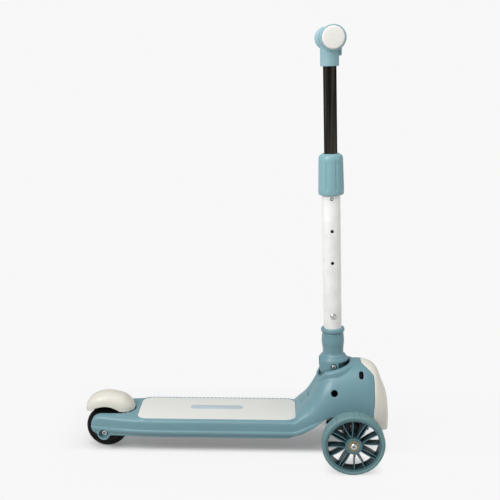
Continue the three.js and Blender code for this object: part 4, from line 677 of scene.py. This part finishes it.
# Width and height of a skirt with its bead, and height and width of a plain one
SKIRT_SHARES = [
    (0.992, 0.985), (0.996, 0.95), (1.018, 0.88), (1.029, 0.8), (1.03, 0.68), (1.026, 0.56),
    (1.0, 0.48), (0.963, 0.42), (0.945, 0.2), (0.938, 0.06), (0.93, 0),
]
PLAIN_SHARES = ((0, 0.93), (0.4, 0.965), (0.7, 0.992), (1, 1))
BEAD_END_SHARE, BEAD_FADE_SHARE = 0.5, 0.3
NOSE_SHARE = 0.895
CROWN_STEPS = 26
FLAT_POWER, ROUND_POWER = 8, 2.3


def lerp(a, b, share):
    return a + (b - a) * share


def held(value):
    """A value kept between 0 and 1."""
    return min(1, max(0, value))


def section(x, top, side, bottom, half, power, drop=0, bead=1):
    """One cross section: a rounded crown on skirts, as points right round."""
    flank = []
    for i in range(CROWN_STEPS):
        a = (i + 1) / CROWN_STEPS * math.pi / 2
        rise = max(math.cos(a), 0) ** (2 / power) if i < CROWN_STEPS - 1 else 0
        flank.append((half * math.sin(a) ** (2 / power), side + (top - side) * rise))
    plain = np.interp([up for _, up in SKIRT_SHARES], *zip(*PLAIN_SHARES))
    for (out, up), flat in zip(SKIRT_SHARES, plain):
        flank.append((half * lerp(flat, out, bead), lerp(bottom, side, up)))
    flank[-1] = (flank[-1][0], flank[-1][1] - drop)
    return [(x, 0, top)] + [(x, y, z) for y, z in flank] + [(x, -y, z) for y, z in flank[::-1]]


def hood_ring(row, inset=0):
    place, rise, change, crown, half, line, lift = row
    nose = inset if place > NOSE_SHARE else 0
    return section(
        HOOD_START + HOOD_LENGTH * place - nose,
        lerp(DECK_TOP, HOOD_TOP, rise) - inset,
        lerp(DECK_BOTTOM, lerp(SIDE_LINE, ARCH_TOP, change), line),
        lerp(DECK_BOTTOM, DECK_TOP, lift),
        lerp(DECK_HALF, HOOD_HALF, change) * half - inset,
        lerp(FLAT_POWER, ROUND_POWER, crown),
        OVER * 2 if inset else 0,
        held((BEAD_END_SHARE - place) / BEAD_FADE_SHARE),
    )


def arm_ring(row):
    place, top, lift, half = row
    return section(REAR_AXLE[0] + ARM_LENGTH * place, lerp(DECK_BOTTOM, DECK_TOP, top), SIDE_LINE,
                   lerp(DECK_BOTTOM, DECK_TOP, lift), DECK_HALF * half, FLAT_POWER)


def hull():
    start = REAR_AXLE[0] + ARM_LENGTH * ARM_SHARES[-1][0]
    end = HOOD_START + HOOD_LENGTH * HOOD_SHARES[0][0]
    deck = [section(x, DECK_TOP, SIDE_LINE, DECK_BOTTOM, DECK_HALF, FLAT_POWER)
            for x in np.linspace(start, end, 40)[1:-1]]
    arms = [arm_ring(row) for row in finer(ARM_SHARES, 5)]
    return loft(arms + deck + [hood_ring(row) for row in finer(HOOD_SHARES, 5)])


GROOVE_SHARES, GROOVE_FADE_SHARE = (0.1, 0.3), 0.057
GROOVE_RADIUS, GROOVE_DEPTH = 50, 4.5
FOLD_RADIUS = 24.2
WALL = 3
CAVITY_SHARE, CAVITY_START = 0.12, 150
SEAM = HALF_LENGTH - 32
TONGUE_SHARES = [(1, 0.28), (0.94, 0.37), (0.79, 0.56), (0.56, 0.73), (0.33, 0.86), (0.15, 0.95), (0.04, 1)]
TONGUE_LENGTH, TONGUE_HALF, TONGUE_FOOT = 24, 36, 46
COVER_GAP = 0.5
WELL_LENGTH, WELL_HALF = 59, 29
# Place along the hood and height of the wheel arch
ARCH_SHARES = [
    (-0.11, -0.1), (-0.06, -0.02), (-0.02, 0.05), (0.032, 0.125), (0.092, 0.222), (0.153, 0.37),
    (0.214, 0.52), (0.274, 0.69), (0.337, 0.865), (0.397, 0.957), (0.479, 0.99), (0.558, 1),
    (0.779, 1), (0.805, 0.97), (0.821, 0.9),
]


def ramp_channel(wall=0):
    """A wide shallow groove that follows the ramp up to the stem's pocket."""
    rows = smooth_rows([r[:2] for r in HOOD_SHARES], np.linspace(*GROOVE_SHARES, 8))
    line = [Vector((HOOD_START + HOOD_LENGTH * p, lerp(DECK_TOP, HOOD_TOP, rise))) for p, rise in rows]
    depths = [GROOVE_DEPTH * held((p - GROOVE_SHARES[0]) / GROOVE_FADE_SHARE) for p, _ in rows]
    parts = []
    for a, b, depth_a, depth_b in zip(line, line[1:], depths, depths[1:]):
        ahead = (b - a).normalized()
        up = Vector((-ahead.y, ahead.x))
        start, end = a + up * (GROOVE_RADIUS - depth_a), b + up * (GROOVE_RADIUS - depth_b)
        slope = end - start
        start -= slope.normalized() * 2
        tilt = turn(-math.degrees(math.atan2(slope.y, slope.x)), Y)
        parts.append(moved(rod(GROOVE_RADIUS + wall, slope.length + 4, segments=128),
                           at(start.x, 0, start.y), tilt, turn(90, Y)))
    return boolean(parts[0], parts[1:], "UNION")


def fold_channel(wall=0):
    return moved(rod(FOLD_RADIUS + wall, STEM_X - HOOD_START), at(z=PIVOT_HEIGHT), on_x(HOOD_START))


def cavity():
    rows = [r for r in finer(HOOD_SHARES, 4) if r[0] > CAVITY_SHARE]
    inner = boolean(loft([hood_ring(r, WALL) for r in rows]),
                    [block(CAVITY_START, HALF_LENGTH, -HOOD_HALF, HOOD_HALF, -OVER, HOOD_TOP)], "INTERSECT")
    return boolean(inner, [ramp_channel(WALL), fold_channel(WALL)])


def cover_plan(gap):
    """The front cover seen from above: a tongue on the seam, and all that lies before it."""
    half = [(SEAM - TONGUE_LENGTH * back - gap, TONGUE_HALF * out) for back, out in TONGUE_SHARES]
    half += [(SEAM - gap, TONGUE_FOOT), (SEAM - gap, HOOD_HALF + OVER),
             (HALF_LENGTH + OVER, HOOD_HALF + OVER)]
    return prism(half + [(x, -y) for x, y in half[::-1]], -OVER, HOOD_TOP + OVER)


def side_plate(points, y0, y1):
    """An outline in X-Z spread between two places on Y."""
    return moved(prism([(x, z) for x, z in points], -y1, -y0), turn(90, X))


def arch_cut():
    rows = finer(ARCH_SHARES, 4)
    top = [(HOOD_START + HOOD_LENGTH * p, lerp(DECK_BOTTOM, ARCH_TOP, up)) for p, up in rows]
    return side_plate(top + [(SEAM, top[-1][1]), (SEAM, -OVER), (top[0][0], -OVER)], -HOOD_HALF - OVER,
                      HOOD_HALF + OVER)


def well_cut():
    centre, rear = REAR_AXLE[0] + WELL_LENGTH - WELL_HALF, -HALF_LENGTH - OVER
    arc = [(centre + WELL_HALF * math.cos(a), WELL_HALF * math.sin(a))
           for a in np.linspace(-math.pi / 2, math.pi / 2, 40)]
    return prism([(rear, -WELL_HALF)] + arc + [(rear, WELL_HALF)], -OVER, DECK_TOP + OVER)


PAD, PAD_CORNER = (-195, 120.5, -54.5, 54.5), 21
PAD_SEAT, PAD_BOTTOM, PAD_TOP = 77.6, 77.9, 80.4
BADGE, BADGE_CORNER = (-92.5, 13.5, -4, 16), 10
UNDERSIDE, UNDERSIDE_CORNER = (-195, 94, -50, 50), 14
UNDERSIDE_SEAT, UNDERSIDE_TOP = 45.3, 45
POCKET_RADIUS = 33
LIP_RADIUS, LIP_TILT, LIP_DROP = 45, 15, 12
NOTCH_PITCH = 8
REAR = at(*REAR_AXLE)
FOLD = at(STEM_X, 0, PIVOT_HEIGHT)


def shrunk(sides, gap):
    """A rectangle drawn in by a gap all round, or spread when the gap is below zero."""
    x0, x1, y0, y1 = sides
    return x0 + gap, x1 - gap, y0 + gap, y1 - gap


def pocket_lip():
    """A round lip that leans up to the front, with its rear ends running down the ramp."""
    outer, inner, soft = LIP_RADIUS, 29.75, 2.6
    ring = spun(rounded([(inner, -20), (outer - soft, -20, 1), (outer, -12, 5), (outer - 1, 0, 6.5),
                         (inner, 0)]), 144)
    for v in ring.verts:
        behind = math.degrees(abs(math.atan2(v.co.y, -v.co.x)))
        t = held((64 - behind) / 30)
        v.co.z -= LIP_DROP * t * t * (3 - 2 * t)
    skirt = boolean(spun([(inner, -34), (outer - 5, -34), (outer - 5, -9), (inner, -9)], 96),
                    [block(0, outer + 1, -outer - 1, outer + 1, -40, OVER)])
    return moved(boolean(ring, [skirt], "UNION"), at(STEM_X, 0, PIVOT_HEIGHT - 3.5), turn(-LIP_TILT, Y))


def lock_slot(side):
    slot = prism(box_round(-4, 4, -8.5, 8.5, 3.6), -OVER, OVER)
    return moved(slot, at(246.5, side * 43, 171), turn(-side * 45, X))


def build_body():
    bosses = [moved(rod(12.5, ARM_OUTER - WHEEL_SEAT, segments=72), REAR, on_y(s * WHEEL_SEAT, s))
              for s in (1, -1)]
    shell = boolean(hull(), [
        cavity(), cover_plan(COVER_GAP), arch_cut(), well_cut(),
        prism(box_round(*PAD, PAD_CORNER), PAD_SEAT, DECK_TOP + OVER),
        prism(box_round(*UNDERSIDE, UNDERSIDE_CORNER), -OVER, UNDERSIDE_SEAT),
    ])
    rim = boolean(prism(box_round(*shrunk(PAD, -4), PAD_CORNER + 4), 76, 80.8, round_top=2),
                  [prism(box_round(*PAD, PAD_CORNER), 70, 90)])
    shell = boolean(shell, [pocket_lip(), rim, *bosses], "UNION")
    notches = [block(x, x + 3, 54, 58.5, 79.2, 85) for x in np.arange(PAD[0] + 16, PAD[1] - 14, NOTCH_PITCH)]
    tools = [
        moved(rod(POCKET_RADIUS, 50, segments=128), at(STEM_X, 0, PIVOT_HEIGHT - POCKET_RADIUS)),
        fold_channel(), ramp_channel(),
        moved(rod(AXLE_BORE, 2 * ARM_OUTER), REAR, on_y(-ARM_OUTER)),
        moved(rod(SMALL_BORE, 2 * PIN_HALF), at(*FENDER_PIN), on_y(-PIN_HALF)),
        block(222, 248, -19, 19, 150, 174),  # room for the lock's fingers below the pocket's lip
        together(notches),
    ]
    for s in (1, -1):
        tools += [
            moved(rod(9.5, 30, segments=72), REAR, on_y(s * 36.5, s)),
            lock_slot(s),
            moved(rod(6.5, 35, segments=72), at(STEM_X, 0, 138), on_y(s * 46, s)),
            moved(rod(AXLE_BORE, 30), at(0, s * 25.5, 92.8), on_x(136)),
        ]
    return boolean(shell, tools)


piece("deck_hood", melted(build_body(), 1.15, 3), "chassis", "body_blue", ["deck_body"], smooth=70)
cover = boolean(boolean(hull(), [cavity()]), [cover_plan(0)], "INTERSECT")
piece("cover_shell", melted(cover, 0.9, 2), "chassis", "cream_plastic", ["front_cover"], smooth=70)

# Deck pad, badge and underside
pad = boolean(prism(box_round(*shrunk(PAD, 0.4), 20.6, 16), PAD_BOTTOM, PAD_TOP, round_top=0.9),
              [prism(box_round(*BADGE, BADGE_CORNER, 16), PAD_TOP - 1, PAD_TOP + 5)])
piece("pad_sheet", pad, "chassis", "pad_plastic", ["deck_pad"], smooth=40)
inlay = prism(box_round(*shrunk(BADGE, CLEARANCE), 9.4, 16), PAD_TOP - 0.7, PAD_TOP + 0.3, round_top=0.35)
piece("badge_inlay", inlay, "chassis", "badge_blue", ["deck_badge"])
plate = prism(box_round(*shrunk(UNDERSIDE, CLEARANCE), 13.7, 12), DECK_BOTTOM, UNDERSIDE_TOP,
              round_bottom=0.8)
piece("underside_plate", plate, "chassis", "black_plastic", ["underside_cover"])


# Fasteners and bearings
SOCKET_SHARE = 0.45


def hexagon(flat, a):
    """Radius at angle a of a hexagon whose flats lie at the distance flat from its centre."""
    return flat / math.cos((a + math.pi / 6) % (math.pi / 3) - math.pi / 6)


def bolt(radius, length, head, height):
    """A round-headed bolt with a hexagon socket, its shank along Z."""
    flat = head * SOCKET_SHARE
    floor = 2.5 if flat < radius - 0.6 else -height * 0.2

    def reach(a, r, z):
        return hexagon(flat, a) if r < flat * 1.01 else r
    line = [(0, floor), (flat, floor), (flat, -height, 0.2), (head * 0.72, -height, head * 0.2),
            (head, -height * 0.45, head * 0.25), (head, 0, 0.2), (radius, 0), (radius, length, 0.5),
            (0, length)]
    return spun(rounded(line), 48, reach)


def nut(bore, radius, height):
    def reach(a, r, z):
        return r if r < bore * 1.2 else hexagon(r * math.cos(math.pi / 6), a)
    return spun(rounded([(bore, 0), (radius - 0.6, 0), (radius, 0.5), (radius, height - 0.5),
                         (radius - 0.6, height), (bore, height)]), 48, reach)


def bearing():
    """A ball bearing: two races with a dished shield between them."""
    bore, outer, half = AXLE_BORE, 11, 3.5
    race = (outer - bore) * 0.28
    mid = half * 0.85
    side = [(bore, mid - 0.2), (bore, half, 0.3), (bore + 1.4, half, 0.2), (bore + 1.5, mid, 0.2),
            (outer - race - 0.4, mid, 0.2), (outer - race, half, 0.2), (outer, half, 0.3), (outer, half - 1)]
    side = rounded(side, steps=3)
    return spun(side + [(r, -z) for r, z in side[::-1]], 64)


piece("axle_bolt_rear", bolt(AXLE_RADIUS, 79.9, 6.5, 3.2), "chassis", "steel", ["rear_axle_bolt"],
      [REAR, on_y(-AXLE_SEAT)])
piece("axle_nut_rear", nut(AXLE_BORE, 6.5, 6), "chassis", "steel", ["rear_axle_nut"], [REAR, on_y(AXLE_SEAT)])
for s, name in SIDES:
    piece(f"rear_race_{name}", bearing(), "wheel_rear", "bearing_steel", [f"rear_bearing_{name}"],
          [REAR, on_y(s * BEARING_PLACE)])
    refined(f"bracket_bolt_{name}", "steel", 0.25)
for node in ("front_bracket", "fold_lock"):
    refined(node, "black_steel", 0.5)
for node in ("roll_bolt", "roll_nut"):
    refined(node, "steel", 0.3)
piece("fold_screw", bolt(AXLE_RADIUS, 56.1, 5, 2.5), "chassis", "steel", ["fold_bolt"],
      [FOLD, on_y(-FOLD_SEAT)])
piece("fold_cap_nut", nut(AXLE_BORE, 6, 2.5), "chassis", "steel", ["fold_nut"], [FOLD, on_y(FOLD_SEAT)])

# Rear wheel
tyre = spun(rounded([(30.3, -12), (37, -12, 1), (40.25, -8.64, 4), (42, -2.4, 5), (42, 2.4, 5),
                     (40.25, 8.64, 4), (37, 12, 1), (30.3, 12)]), 128)
piece("tyre_rear", tyre, "wheel_rear", "rear_tyre_rubber", ["rear_tyre"], [REAR, on_y(0)])
core = spun(rounded([(11.3, -14), (16.5, -14, 0.8), (16.5, -6, 1.5), (27, -6, 1.5), (27, -11.04, 0.5),
                     (30, -11.04), (30, 11.04), (27, 11.04, 0.5), (27, 6, 1.5), (16.5, 6, 1.5),
                     (16.5, 14, 0.8), (11.3, 14), (11.3, 6.7), (8.9, 6.7), (8.9, -6.7), (11.3, -6.7)]), 96)
piece("core_rear", core, "wheel_rear", "black_plastic", ["rear_wheel_core"], [REAR, on_y(0)])


# Stem
def build_base():
    neck = 20.2
    profile = [
        (0, -16), (27.5, -16, 2), (30, -9, 6), (30, 7, 3), (28.6, 12.5, 3), (25.2, 15.2, 1.5),
        (24.6, 17.5, 2), (20.9, 20.8, 2), (neck, 24, 4), (21, 36, 10), (22.2, 44, 10), (22.2, 50, 8),
        (21, 62, 4), (neck, 63.6, 0.8), (neck, 64.6, 0.8), (22.8, 66, 2), (23.4, 69, 3), (22.8, 72, 2),
        (21, 73.8, 0.8), (18.05, 73.8), (18.05, 39.8), (15.85, 39.8), (15.85, 113), (14.35, 115), (0, 115),
    ]
    body = boolean(spun(rounded(profile), 96), [block(9, 40, -40, 40, -26, 8)])
    lugs = []
    for s in (1, -1):
        y0, y1 = sorted((s * 12.5, s * 17))
        lugs += [block(8, 17.71, y0, y1, -16, 10), block(8, 23, y0, y1, -16, -12.95)]
    body = boolean(body, lugs, "UNION")
    tools = [
        block(-40, 12.5, -11.4, 11.4, -40, 12.5),
        moved(rod(AXLE_BORE, 80), on_y(-40)),
        moved(rod(7, 13.5), on_y(-40)), moved(rod(7, 13.5), on_y(26.5)),
        moved(rod(SMALL_BORE, 25), at(z=TUBE_SCREW_HEIGHT), on_y(-27.5)),
    ]
    return boolean(body, tools)


# The stem base takes the body's blue darkened as painted shade
piece("base_socket", build_base(), "stem", "body_blue", ["stem_base"], [STEM], smooth=32, look="shaded_base_blue")

tube = spun(rounded([(16.15, 40.1), (17.75, 40.1, 0.4), (17.75, 405, 0.4), (16.15, 405)]), 96)
holes = [moved(rod(HOLE_RADIUS, 18, segments=48), at(z=BUTTON_HEIGHT - HOLE_PITCH * i), on_y(-27.75))
         for i in range(3)]
holes.append(moved(rod(SMALL_BORE, 18, segments=48), at(z=TUBE_SCREW_HEIGHT), on_y(-27.75)))
piece("tube_outer", boolean(tube, holes), "stem", "white_paint", ["outer_tube"], [STEM], smooth=30)
piece("screw_tube", bolt(2.5, 12.7, 5.9, 2.5), "stem", "steel", ["tube_screw"],
      [STEM, at(z=TUBE_SCREW_HEIGHT), on_y(-18.05)])
bush = spun(rounded([(12.8, 354), (16, 354, 0.4), (16, 404, 0.4), (12.8, 404)]), 96)
piece("bush_clamp", bush, "stem", "black_plastic", ["clamp_bush"], [STEM])


def build_collar():
    """The twist collar, with eight shallow hollows round its waist."""
    bottom, top = 339, 417
    profile = rounded([
        (18.05, bottom), (23.6, bottom, 1.2), (24.6, bottom + 3, 2), (24.6, bottom + 8, 3),
        (23.3, top - 9, 6), (21.6, top - 3.5, 5), (18.1, top - 1.8, 3), (16.6, top, 0.8), (12.8, top),
        (12.8, 405.6), (18.05, 405.6)])
    rows = []
    for (r0, z0), (r1, z1) in zip(profile, profile[1:] + profile[:1]):
        parts = max(1, int(abs(z1 - z0) / 2.5))
        rows += [(lerp(r0, r1, k / parts), lerp(z0, z1, k / parts)) for k in range(parts)]

    def reach(a, r, z):
        if r < 19:
            return r
        fade = held((z - bottom - 7) / 7) * held((top - 11 - z) / 9)
        fade = fade * fade * (3 - 2 * fade)
        near = (a - math.radians(22.5) + math.pi / 8) % (math.pi / 4) - math.pi / 8
        dip = max(0, 1 - (near / 0.13) ** 2)
        return r - 1.5 * fade * dip * dip
    return spun(rows, 192, reach)


piece("collar_twist_ring", build_collar(), "clamp_collar", "collar_plastic", ["collar"], [STEM], smooth=40)

inner = spun([(11, 266), (12.5, 266), (12.5, 608.6), (11, 608.6)], 96)
inner = boolean(inner, [moved(rod(HOLE_RADIUS, 24, segments=48), at(z=BUTTON_HEIGHT), on_y(-24))])
piece("tube_inner", inner, "mast", "dark_chrome", ["inner_tube"], [STEM], smooth=30)
plug = spun(rounded([(0, 262), (15.85, 262, 0.8), (15.85, 265.7, 0.5), (10.7, 265.7), (10.7, 280, 1),
                     (0, 280)]), 64)
piece("plug_foot", plug, "mast", "black_plastic", ["foot_plug"], [STEM])
button = spun(rounded([(0, 0), (4.2, 0, 0.3), (4.2, 1, 0.3), (3, 1), (3, 8.2, 1.4), (1.6, 9, 1.2),
                       (0, 9)]), 48)
piece("button_lock", button, "height_button", "steel", ["spring_button"],
      [STEM, at(z=BUTTON_HEIGHT), on_y(9 - 15.85, -1)])


# Handlebar
def build_head():
    """The T-head: a socket on the tube, a barrel across it and a boss at the rear."""
    socket = spun(rounded([(0, -51), (17.45, -51, 1.2), (17.45, 0), (0, 0)]), 96)
    barrel = moved(spun(rounded([(0, -28), (20, -28, 1.4), (20, 28, 1.4), (0, 28)]), 96), on_y(0))
    boss = moved(spun(rounded([(0, 0), (11, 0), (11, 22, 1.4), (0, 22)]), 64), at(z=-21.5), on_x(0))
    body = boolean(socket, [barrel, boss], "UNION")
    bores = [moved(rod(12.8, 50.3, segments=96), at(z=-61)), moved(rod(11.3, 76, segments=96), on_y(-38))]
    return melted(boolean(body, bores), 0.55, 3)


piece("head_tee", build_head(), "mast", "grip_rubber", ["t_head"], [BAR], smooth=60)
piece("bar_tube", moved(rod(11, 240, -120, 96, 0.8), on_y(0)), "mast", "dark_chrome", ["handle_bar"], [BAR])


def build_grip():
    start, face, seat, ribs = 28.3, 124, 122, 16
    rows = [(11.3, start), (15.2, start, 0.8)]
    pitch = (face - 6 - start - 8) / ribs
    for i in range(ribs):
        z = start + 5 + pitch * i
        rows += [(14.9, z, 0.5), (16, z + pitch * 0.25, 0.9), (16, z + pitch * 0.6, 0.9),
                 (14.9, z + pitch * 0.85, 0.5)]
    rows += [(16.4, face - 7, 1), (21.2, face - 6, 1), (22.4, face - 4.5, 1.2), (22.4, face - 1, 1),
             (21.4, face, 0.5), (20.6, face), (20.6, seat), (11.3, seat)]
    return spun(rounded(rows, steps=3), 96)


for s, name in SIDES:
    piece(f"grip_sleeve_{name}", build_grip(), "mast", "grip_rubber", [f"grip_{name}"], [BAR, on_y(0, s)])
    cap = spun(rounded([(0, 122.3), (20, 122.3), (20, 124, 0.6), (18, 125.5, 2.5), (10, 126, 4),
                        (0, 126)]), 96)
    piece(f"cap_{name}", cap, "mast", "white_plastic", [f"end_cap_{name}"], [BAR, on_y(0, s)])


# Springs
def coiled(radius, height, turns, wire, dead=0.75):
    """A wound spring along Z: close end turns, open middle turns, round wire."""
    points = []
    sides, count = 12, turns * 40
    low = wire * 2.05 * dead
    for i in range(count + 1):
        t = i / count * turns
        if t < dead:
            z = low * t / dead
        elif t > turns - dead:
            z = height - low * (turns - t) / dead
        else:
            u = (t - dead) / (turns - 2 * dead)
            z = low + (height - 2 * low) * u
        a = 2 * math.pi * t
        points.append(Vector((radius * math.cos(a), radius * math.sin(a), z)))
    rings = []
    up = Vector((0, 0, 1))
    for i, p in enumerate(points):
        ahead = (points[min(i + 1, count)] - points[max(i - 1, 0)]).normalized()
        across = ahead.cross(up).normalized()
        over = across.cross(ahead)
        rings.append([p + wire * (across * math.cos(b) + over * math.sin(b))
                      for b in (2 * math.pi * k / sides for k in range(sides))])
    return loft(rings, split=False)


for s, name in SIDES:
    y = s * LEAN_SPRING_Y
    piece(f"spring_lean_{name}", coiled(8, 36.4, 7, 1.5),
          ("truck", "chassis", (FRONT_AXLE_X, y, 68), (FRONT_AXLE_X, y, 104)), "spring_steel",
          [f"lean_spring_{name}"], [at(FRONT_AXLE_X, y, 67.8)])
piece("spring_lock", coiled(4, 10, 5, 0.7), ("lock_slider", "chassis", (249.5, 0, 165), (259.5, 0, 165)),
      "spring_steel", ["lock_spring"], [at(z=165.25), on_x(249.25)])
piece("spring_brake", coiled(4, 8, 4, 0.9, dead=0.2), "chassis", "spring_steel", ["brake_spring"],
      [at(*FENDER_PIN), on_y(-4)])

# Front truck and wheels
refined("truck_beam", "black_plastic", 0.6)
refined("tie_rod", "black_steel", 0.4)


def build_front_core():
    """Rim and hub joined by sixteen bowed ribs, in four pairs and four forks."""
    rim = spun(rounded([(49, -13, 0.6), (52, -13, 0.4), (52, 13, 0.4), (49, 13, 0.6)], closed=True), 128)
    hub = spun(rounded([(11.3, -14, 0.3), (16.5, -14, 0.8), (16.5, 14, 0.8), (11.3, 14, 0.3), (11.3, 6.7),
                        (8.9, 6.7), (8.9, -6.7), (11.3, -6.7)], closed=True), 96)
    ribs = []

    def rib(a0, a1, shift, bend):
        """A thin rib from hub to rim, bowed sideways, with rounded edges."""
        start = Vector((math.cos(a0), math.sin(a0))) * 15.5
        end = Vector((math.cos(a1), math.sin(a1))) * 50
        ahead = end - start
        across = Vector((-ahead.y, ahead.x)).normalized()
        middle = [start + ahead * t + across * (shift + bend * 4 * t * (1 - t)) for t in np.linspace(0, 1, 9)]
        line = [p - across for p in middle] + [p + across for p in middle[::-1]]
        ribs.append(prism([tuple(v) for v in line], -11, 11, round_top=0.55, round_bottom=0.55, steps=3))

    for i in range(4):
        twin = math.radians(90 * i + 60)
        fork = twin - math.pi / 4
        spread = math.radians(11.7)
        rib(twin, twin, 2.25, 1.1)
        rib(twin, twin, -2.25, -1.1)
        rib(fork, fork + spread, 0, 1.2)
        rib(fork, fork - spread, 0, -1.2)
    return boolean(rim, [hub, *ribs], "UNION")


def build_front_tyre():
    half = 14.75

    def reach(a, r, z):
        """Shallow grooves across the tread, at 24 of the 32 places that are 11.25 degrees apart."""
        near = a % (math.pi / 16)
        return r - 1.2 if r > 58.5 and near < 0.001 else r
    return spun(rounded([(52.3, 1 - half), (56, -half, 1.5), (58.8, 1.2 - half, 2), (60, 4 - half, 3),
                         (60, half - 4, 3), (58.8, half - 1.2, 2), (56, half, 1.5), (52.3, half - 1)]),
                256, reach)


for s, name in SIDES:
    hub = at(FRONT_AXLE_X, s * WHEEL_Y, FRONT_AXLE_HEIGHT)
    wheel = f"wheel_{name}"
    pin = spun(rounded([(0, 36.8), (6.5, 36.8, 0.6), (6.5, 39.7, 0.3), (4, 39.7), (4, 83.2, 0.6),
                        (0, 83.2)]), 48)
    piece(f"king_bolt_{name}", pin, "truck", "steel", [f"kingpin_{name}"],
          [at(FRONT_AXLE_X, s * KINGPIN_Y, 0)])
    refined(f"knuckle_{name}", "black_plastic", 0.4)
    piece(f"axle_screw_{name}", bolt(AXLE_RADIUS, 37.5, 6.5, 3.2), f"steer_{name}", "steel",
          [f"front_axle_{name}"], [hub, on_y(s * WHEEL_SEAT, -s)])
    piece(f"wheel_core_{name}", build_front_core(), wheel, "front_wheel_blue", [f"front_wheel_core_{name}"],
          [hub, on_y(0, -1)], smooth=32)
    piece(f"tyre_front_{name}", build_front_tyre(), wheel, "front_tyre_pu", [f"front_tyre_{name}"],
          [hub, on_y(0)])
    for end, out in (("inner", -1), ("outer", 1)):
        piece(f"front_race_{name}_{end}", bearing(), wheel, "bearing_steel", [f"front_bearing_{name}_{end}"],
              [hub, on_y(s * out * BEARING_PLACE)])

# Fender and foot brake, with place along the fender, height and half width
FENDER_SHARES = [
    (0, 0.23, 0.45), (0.02, 0.43, 0.64), (0.06, 0.59, 0.79), (0.14, 0.77, 0.925), (0.275, 0.93, 0.98),
    (0.45, 1, 1), (0.63, 0.93, 1), (0.785, 0.8, 0.97), (0.888, 0.59, 0.83), (0.96, 0.36, 0.56),
    (1, 0.12, 0.3),
]
FENDER_REAR, FENDER_LENGTH = -302, 97
FENDER_FOOT, FENDER_TOP, FENDER_HALF = 79.5, 116, 26.5
EAR_RADIUS = 6.5


def build_fender():
    """A cap over the rear wheel with two ears on its pin."""
    rings = [section(FENDER_REAR + FENDER_LENGTH * p, lerp(FENDER_FOOT, FENDER_TOP, rise),
                     lerp(FENDER_FOOT, FENDER_TOP, rise * 0.1), FENDER_FOOT, FENDER_HALF * width, 2.6)
             for p, rise, width in finer(FENDER_SHARES, 6)]
    shell = boolean(loft(rings), [moved(rod(50, 45.8, segments=160), REAR, on_y(-22.9)),
                                  moved(rod(48.5, 80, segments=160), REAR, on_y(-40))])
    x, _, z = FENDER_PIN
    arc = [(x + EAR_RADIUS * math.cos(a), z + EAR_RADIUS * math.sin(a))
           for a in np.linspace(math.pi, 2 * math.pi, 24)]
    ears = []
    for s in (1, -1):
        y0, y1 = sorted((s * 17, s * 22))
        ears.append(side_plate(arc + [(x + EAR_RADIUS, 89.5), (x - EAR_RADIUS, 89.5)], y0, y1))
    shell = boolean(shell, ears, "UNION")
    return melted(boolean(shell, [moved(rod(SMALL_BORE, 124), at(*FENDER_PIN), on_y(-62))]), 0.8, 2)


# The fender takes the cream plastic darkened as painted shade
piece("fender_shell", build_fender(), "brake", "cream_plastic", ["fender"], smooth=70, look="shaded_fender_cream")
refined("brake_shoe", "black_plastic", 0.4)
piece("pin_fender", moved(rod(2.5, 72, -36, 48, 0.4), on_y(0)), "chassis", "steel", ["fender_pin"],
      [at(*FENDER_PIN)])
